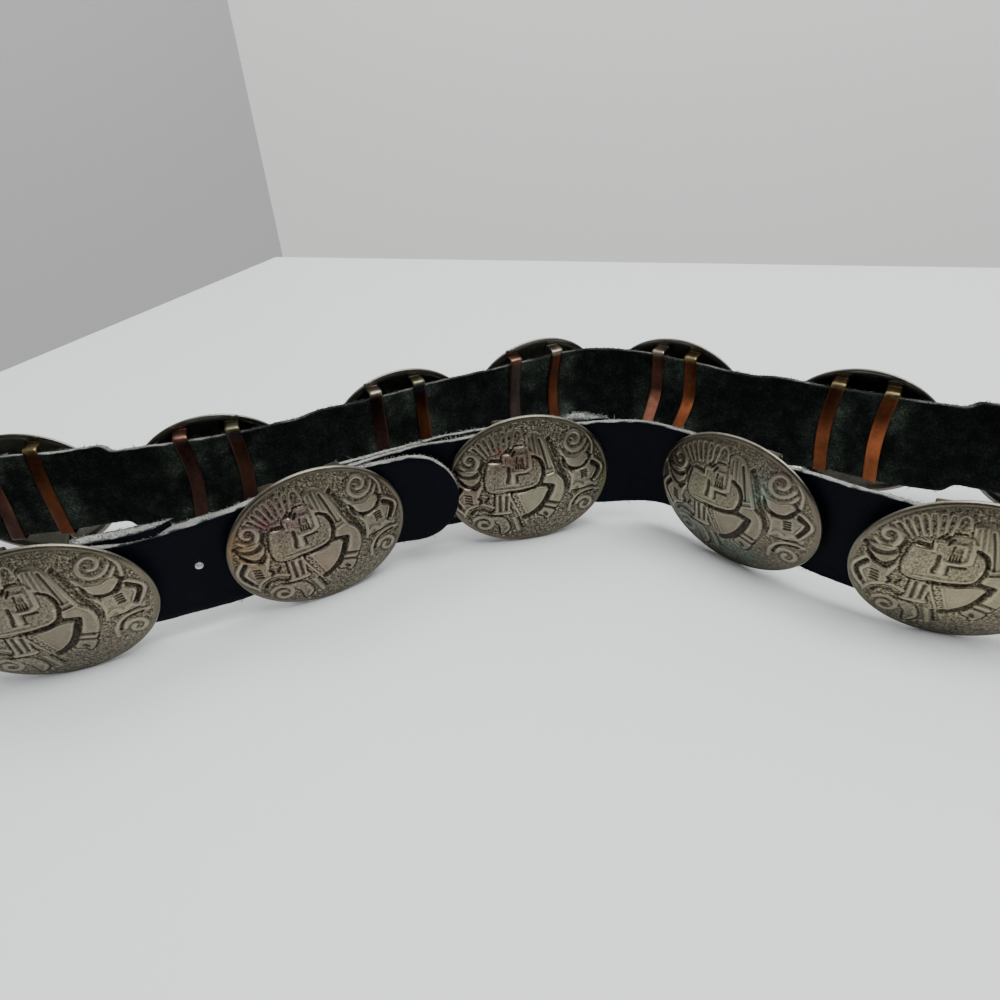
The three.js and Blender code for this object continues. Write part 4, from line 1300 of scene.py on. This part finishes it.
def fibres(line, thickness_at, height_at, seed, spans, edge_light_at, drop_at, swell_at):
    """Loose fibres along the cut edges. A span has its start, end, fibres in a mm and their length."""
    chance = np.random.RandomState(seed)
    points, faces, paint = [], [], []
    lengths = np.array([p["length"] for p in line])
    wanted = [span for span in spans for _ in range(int((span[1] - span[0]) * span[2]))]
    for span_start, span_end, _, longest in wanted:
        distance = chance.uniform(span_start, span_end)
        index = min(int(np.searchsorted(lengths, distance)), len(line) - 1)
        point = line[index]
        along, outward, up, _ = strap_axes(point)
        side = 1 if chance.uniform() < 0.7 else -1
        half = thickness_at(point["length"]) / 2
        swell_out, swell_in = swell_at(point["length"])
        wave = 0.35 * lattice(point["length"], 0.0, 26, seed + 9)
        root = np.array((point["x"], point["y"], STRAP_MIDDLE))
        root = root + outward * chance.uniform(-half - swell_in, half + swell_out) * 0.95
        root = root + up * side * (height_at(point["length"]) / 2 - 0.15 + wave)
        root = root - up * drop_at(point["length"])[0 if side > 0 else 1]
        reach = chance.uniform(0.3, 1) * longest * (2.0 if chance.uniform() < 0.06 else 1)
        way = up * side * chance.uniform(0.25, 1.0) + outward * chance.uniform(-0.7, 0.7)
        way = way + along * chance.uniform(-1.2, 1.2)
        way = way / np.linalg.norm(way)
        bend = along * chance.uniform(-0.4, 0.4) + up * chance.uniform(-0.4, 0.2)
        thick = chance.uniform(0.06, 0.14)
        cross = np.cross(way, outward + 0.01)
        cross = cross / np.linalg.norm(cross)
        other = np.cross(way, cross)
        start = len(points)
        for share, size in ((0, 1.0), (0.55, 0.8)):
            spot = root + way * reach * share + bend * reach * share**2
            for turn in (0.0, 2.094, 4.189):
                points.append(spot + (cross * math.cos(turn) + other * math.sin(turn)) * thick * size)
        points.append(root + way * reach + bend * reach)
        for i in range(3):
            j = (i + 1) % 3
            faces.append((start + i, start + j, start + 3 + j, start + 3 + i))
            faces.append((start + 3 + i, start + 3 + j, start + 6))
        faces.append((start + 2, start + 1, start))
        # Fibres on the edges behind are painted darker, as painted shade
        dark = chance.uniform() > 0.35 + 0.65 * edge_light_at(point["length"])
        shade = 0.06 if dark else chance.uniform(0.5, 1.25) * (0.5 + 0.5 * edge_light_at(point["length"]))
        paint += [np.array(LEATHER_EDGE) * shade] * 7
    return np.array(points), faces, np.array(paint)


def riding(piece):
    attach(piece, "root")
    return piece


# The conchos
LOOP_DEPTHS = {
    "buckle_concho": buckle_ply + MAIN_THICKNESS,
    "concho_01": RETURN_PLY_DEPTH + MAIN_THICKNESS,
    "concho_13": SPLICE_PLY_DEPTH + MAIN_THICKNESS,
}
loop_materials = [copper_material, solder_material]
matrices = {}
for number, place in enumerate(places):
    name = place["name"]
    points, faces, paint = concho_plate(place)
    matrix = concho_matrix(place, points)
    matrices[name] = matrix
    plate = build_mesh(name + "_plate", points, faces, [silver_material], None, paint, matrix)
    riding(plate)
    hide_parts(name)
    depth = LOOP_DEPTHS.get(name, STRAP_BEHIND_RIM + MAIN_THICKNESS)
    spacing = BUCKLE_LOOP_SPACING if name == "buckle_concho" else LOOP_SPACING
    room_above = FULL_LOOP_ROOM_ABOVE if name in LOOP_DEPTHS else LOOP_ROOM_ABOVE
    looks, drop = LOOP_LOOKS.get(name, PLAIN_LOOPS), LOOP_DROPS.get(name, 0)
    seed = LOOP_SEED + LOOP_SEED_STEP * number
    points, faces, paint, slots = concho_loops(depth, spacing, room_above, looks, drop, seed)
    loops = build_mesh(name + "_loops", points, faces, loop_materials, slots, paint, matrix)
    riding(loops)


# The straps
tail_base = tail_body[-1]
tail_points = list(tail_body)
for step in range(1, TIP_STEPS + 1):
    gone = math.sin(step / TIP_STEPS * math.pi / 2) * TIP_LENGTH
    tail_points.append(ahead(tail_base, gone))
tail_points = with_lengths(tail_points)
main_points = main_line()
main_total = main_points[-1]["length"]


def tail_height(length):
    past = max(0.0, length - tail_base["length"]) / TIP_LENGTH
    return STRAP_WIDTH * max(0.05, math.sqrt(max(0.0, 1 - past**2)))


def main_thickness(length):
    share = min(1.0, min(length, main_total - length) / SKIVE_LENGTH)
    return CUT_END + (MAIN_THICKNESS - CUT_END) * share


def loop_lengths(line, spacing):
    """Where along a strap the copper strips lie on it."""
    found = []
    for place in places:
        ends = [p["length"] for p in line if p.get("name") == place["name"]]
        if len(ends) > 3:
            middle = (min(ends) + max(ends)) / 2
            found += [middle - spacing / 2, middle + spacing / 2]
    return found


strap_materials = [leather_material, suede_material, cut_material]


def length_at(line, name):
    return next(p["length"] for p in line if p.get("name") == name)


dark_start, dark_end = length_at(main_points, "concho_05"), length_at(main_points, "concho_11")


def main_edge_light(length):
    """The cut edges are painted pale in front and darker behind, as painted light and shade."""
    behind = ease((length - dark_start) / 60) * ease((dark_end - length) / 90)
    return float(1 - 0.93 * behind)


# Where the straps sag: strap, conchos before and after, drops of its upper and lower edge
SAGS = [
    ("tail", "concho_13", "buckle_concho", 2.0, 2.4),
    ("main", "concho_01", "concho_02", 0.8, 0.8),
    ("main", "concho_02", "concho_03", -1.6, 2.6),
    ("main", "concho_05", "concho_07", 0.6, 1.7),
    ("main", "concho_06", "concho_07", 0.6, 3.0),
]


def drops(strap, line):
    """A function of the length along a strap: how far its upper and its lower edge sag there."""
    bumps = []
    for name, before, after, upper, lower in SAGS:
        if name == strap:
            start = max(p["length"] for p in line if p.get("name") == before)
            end = min(p["length"] for p in line if p.get("name") == after)
            bumps.append(((start + end) / 2, abs(end - start) / 2 + LOOP_WIDTH, upper, lower))

    def drop_at(length):
        shares = [float(ease((1 - abs(length - middle) / reach) * 1.5)) for middle, reach, _, _ in bumps]
        upper = sum(share * bump[2] for share, bump in zip(shares, bumps))
        lower = sum(share * bump[3] for share, bump in zip(shares, bumps))
        return upper, lower

    return drop_at


def main_swell(length):
    """How far the frayed ends of the main strap swell on its smooth side and on its napped side."""
    first_end = ease(length / 11) * ease((15 - length) / 4)
    last_end = ease((length - main_total + 60) / 25) * ease((main_total - length) / 5)
    return float(FRAY_SWELL * first_end + SPLICE_SWELL * last_end), float(FRAY_FILL * first_end)


def tail_swell(length):
    """The tail's raw edge is thick beside the main strap's end and thins towards the buckle."""
    past = length - splice_middle
    return 0.0, float(TAIL_SWELL * ease((past - 4) / 12) * ease((74 - past) / 52))


rubbed_lengths = loop_lengths(main_points, LOOP_SPACING)
main_drop, tail_drop = drops("main", main_points), drops("tail", tail_points)
main_form = (main_points, main_thickness, lambda _: STRAP_WIDTH, MAIN_SEED)
tail_form = (tail_points, lambda _: TAIL_THICKNESS, tail_height, TAIL_SEED)
main_look = (main_edge_light, main_drop, main_swell)
tail_look = (lambda _: 1, tail_drop, tail_swell)
points, faces, paint, slots = strap_mesh(*main_form, rubbed_lengths, *main_look)
main_piece = build_mesh("main_strap_leather", points, faces, strap_materials, slots, paint)
riding(main_piece)
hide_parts("main_strap")

points, faces, paint, slots = strap_mesh(*tail_form, [], *tail_look)
tail_piece = build_mesh("tail_strap_leather", points, faces, strap_materials, slots, paint)


def punch_holes(piece):
    """Cuts the punched holes of the tail."""
    for number in (-1, 0, 1):
        at = point_on(tail_body, splice_middle + FIRST_HOLE + number * HOLE_PITCH)
        radius = HOLE_DIAMETER / 2 * HOLE_SHRUNK * MM
        bpy.ops.mesh.primitive_cylinder_add(vertices=HOLE_SIDES, radius=radius, depth=TAIL_THICKNESS * 4 * MM)
        punch = bpy.context.active_object
        punch.data.materials.append(cut_material)
        heading = math.radians(at["heading"])
        out = Vector((math.sin(heading), -math.cos(heading), 0))
        punch.rotation_mode = "QUATERNION"
        punch.rotation_quaternion = out.to_track_quat("Z", "Y")
        punch.location = Vector((at["x"], at["y"], STRAP_MIDDLE + HOLE_ROW)) * MM
        cut = piece.modifiers.new("hole", "BOOLEAN")
        cut.operation = "DIFFERENCE"
        cut.solver = "EXACT"
        cut.object = punch
        bpy.context.view_layer.objects.active = piece
        bpy.ops.object.modifier_apply(modifier=cut.name)
        bpy.data.objects.remove(punch)


punch_holes(tail_piece)
riding(tail_piece)
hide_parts("tail_strap")

main_spans = [(0, main_total, 5.0, 1.3), (0, 15, 34.0, 1.3), (main_total - 50, main_total, 10.0, 1.1)]
points, faces, paint = fibres(*main_form, main_spans, *main_look)
riding(build_mesh("main_strap_fibres", points, faces, [cut_material], None, paint))
tail_spans = [(0, tail_points[-1]["length"], 8.0, 1.1)]
points, faces, paint = fibres(*tail_form, tail_spans, *tail_look)
riding(build_mesh("tail_strap_fibres", points, faces, [cut_material], None, paint))


# The hidden post
def buckle_post():
    hole = point_on(tail_body, splice_middle + FIRST_HOLE + HOLE_PITCH)
    place = matrices["buckle_concho"]
    at = place.inverted() @ (Vector((hole["x"], hole["y"], STRAP_MIDDLE + HOLE_ROW)) * MM)
    at = np.array(at) / MM
    front = float(dome_inside(at[0], at[1])) + PLATE_THICKNESS / 2
    end = -(STRAP_BEHIND_RIM + TAIL_THICKNESS + POST_PAST)
    sides = 24
    profile = [(0.0, end), (0.8, end), (1.0, end + 0.3), (1.0, front - 1.0), (1.5, front - 0.2), (1.7, front)]
    points, faces = [(at[0], at[1], end)], []
    for share, level in profile[1:]:
        for k in range(sides):
            turn = 2 * math.pi * k / sides
            reach = POST_DIAMETER / 2 * share
            points.append((at[0] + reach * math.cos(turn), at[1] + reach * math.sin(turn), level))
    points.append((at[0], at[1], front))
    faces += [(0, 1 + (k + 1) % sides, 1 + k) for k in range(sides)]
    for ring in range(len(profile) - 2):
        base = 1 + ring * sides
        for k in range(sides):
            after = (k + 1) % sides
            faces.append((base + k, base + after, base + sides + after, base + sides + k))
    base = 1 + (len(profile) - 2) * sides
    faces += [(base + k, base + (k + 1) % sides, len(points) - 1) for k in range(sides)]
    post = build_mesh("buckle_concho_post", points, faces, [solder_material], None, None, place)
    riding(post)


buckle_post()


# Floor, light and camera
def camera_place():
    return Vector((CAMERA_PLAN[0] + PLAN_SHIFT[0], CAMERA_PLAN[1] + PLAN_SHIFT[1], CAMERA_HEIGHT))


def floor_point(across, down):
    """The point of the floor, in millimetres, that the photo's camera sees at a pixel."""
    focal = CAMERA_LENS / CAMERA_SENSOR * PHOTO_SIDE
    right, up, ahead_way = camera_axes()
    way = ahead_way * focal + right * (across - PHOTO_SIDE / 2) + up * (PHOTO_SIDE / 2 - down)
    start = camera_place()
    return start + way * (-start.z / way.z)


def make_room():
    """A white table whose back and left edges show, and two pale walls well beyond it."""
    corner = floor_point(*TABLE_CORNER)
    left, back = floor_point(*TABLE_LEFT) - corner, floor_point(*TABLE_BACK) - corner
    reach = TABLE_REACH / left.length
    far = corner + back * (TABLE_REACH / back.length)
    near_left = corner + left * reach
    points = [corner, near_left, (near_left.x, -TABLE_REACH, 0), (far.x, -TABLE_REACH, 0), far]
    build_mesh("table", [tuple(p) for p in points], [tuple(range(5))], [table_material])
    side = [corner + back * WALL_REACH, corner, near_left]
    low = [Vector((p[0], p[1] + WALL_GAP, -WALL_DROP)) for p in side]
    high = [Vector((p[0], p[1] + WALL_GAP, WALL_RISE)) for p in side]
    viewer = camera_place()
    corners = [tuple(viewer + (p - viewer) * WALL_FAR) for p in low + high]
    faces, materials = [(0, 1, 4, 3), (1, 2, 5, 4)], [wall_material, side_wall_material]
    wall = build_mesh("wall", corners, faces, materials, [0, 1])
    wall.data.polygons.foreach_set("use_smooth", [False, False])


def area_light(name, place, target, size, power, colour=(1, 1, 1)):
    light = bpy.data.lights.new(name, "AREA")
    light.shape = "RECTANGLE"
    light.size, light.size_y = size
    light.energy = power
    light.color = colour
    lamp = bpy.data.objects.new(name, light)
    lamp.location = Vector(place)
    lamp.rotation_mode = "QUATERNION"
    lamp.rotation_quaternion = (Vector(target) - Vector(place)).to_track_quat("-Z", "Y")
    bpy.context.scene.collection.objects.link(lamp)


def make_light():
    """A bright side behind the belt and a dim room behind the camera, with two soft lamps."""
    world = bpy.data.worlds.new("room")
    world.use_nodes = True
    tree = world.node_tree
    sky = tree.nodes["Background"]
    way = tree.nodes.new("ShaderNodeTexCoord")
    along = tree.nodes.new("ShaderNodeVectorMath")
    along.operation = "DOT_PRODUCT"
    along.inputs[1].default_value = (0.1, 0.42, 0.30)
    shift = tree.nodes.new("ShaderNodeMath")
    shift.inputs[1].default_value = 0.5
    tree.links.new(way.outputs["Generated"], along.inputs[0])
    tree.links.new(along.outputs["Value"], shift.inputs[0])
    tones = [(0.1, grey(0.05)), (0.45, (0.20, 0.20, 0.21)), (0.72, (0.62, 0.63, 0.64)), (1.0, grey(0.86))]
    tree.links.new(ramp_node(tree, shift.outputs["Value"], tones), sky.inputs["Color"])
    sky.inputs["Strength"].default_value = 1.0
    bpy.context.scene.world = world
    area_light("window", (-0.30, 0.45, 1.05), (0, 0.0, 0), (0.55, 0.40), 4, (1.0, 0.99, 0.97))
    area_light("ceiling", (0.45, -0.25, 1.5), (0, 0, 0), (1.2, 1.0), 29, (0.98, 0.99, 1.0))


def camera_axes():
    pitch, roll = math.radians(CAMERA_PITCH), math.radians(CAMERA_ROLL)
    level_up = Vector((0, math.sin(pitch), math.cos(pitch)))
    right = Vector((1, 0, 0)) * math.cos(roll) + level_up * math.sin(roll)
    up = level_up * math.cos(roll) - Vector((1, 0, 0)) * math.sin(roll)
    return right, up, Vector((0, math.cos(pitch), -math.sin(pitch)))


def make_camera():
    camera = bpy.data.cameras.new("camera")
    camera.lens = CAMERA_LENS
    camera.sensor_width = CAMERA_SENSOR
    camera.clip_start = 0.005
    viewer = bpy.data.objects.new("camera", camera)
    right, up, ahead_way = camera_axes()
    turn = Matrix((right, up, -ahead_way)).transposed().to_4x4()
    place = camera_place() * MM
    viewer.matrix_world = Matrix.Translation(place) @ turn
    bpy.context.scene.collection.objects.link(viewer)
    bpy.context.scene.camera = viewer


make_room()
make_light()
make_camera()
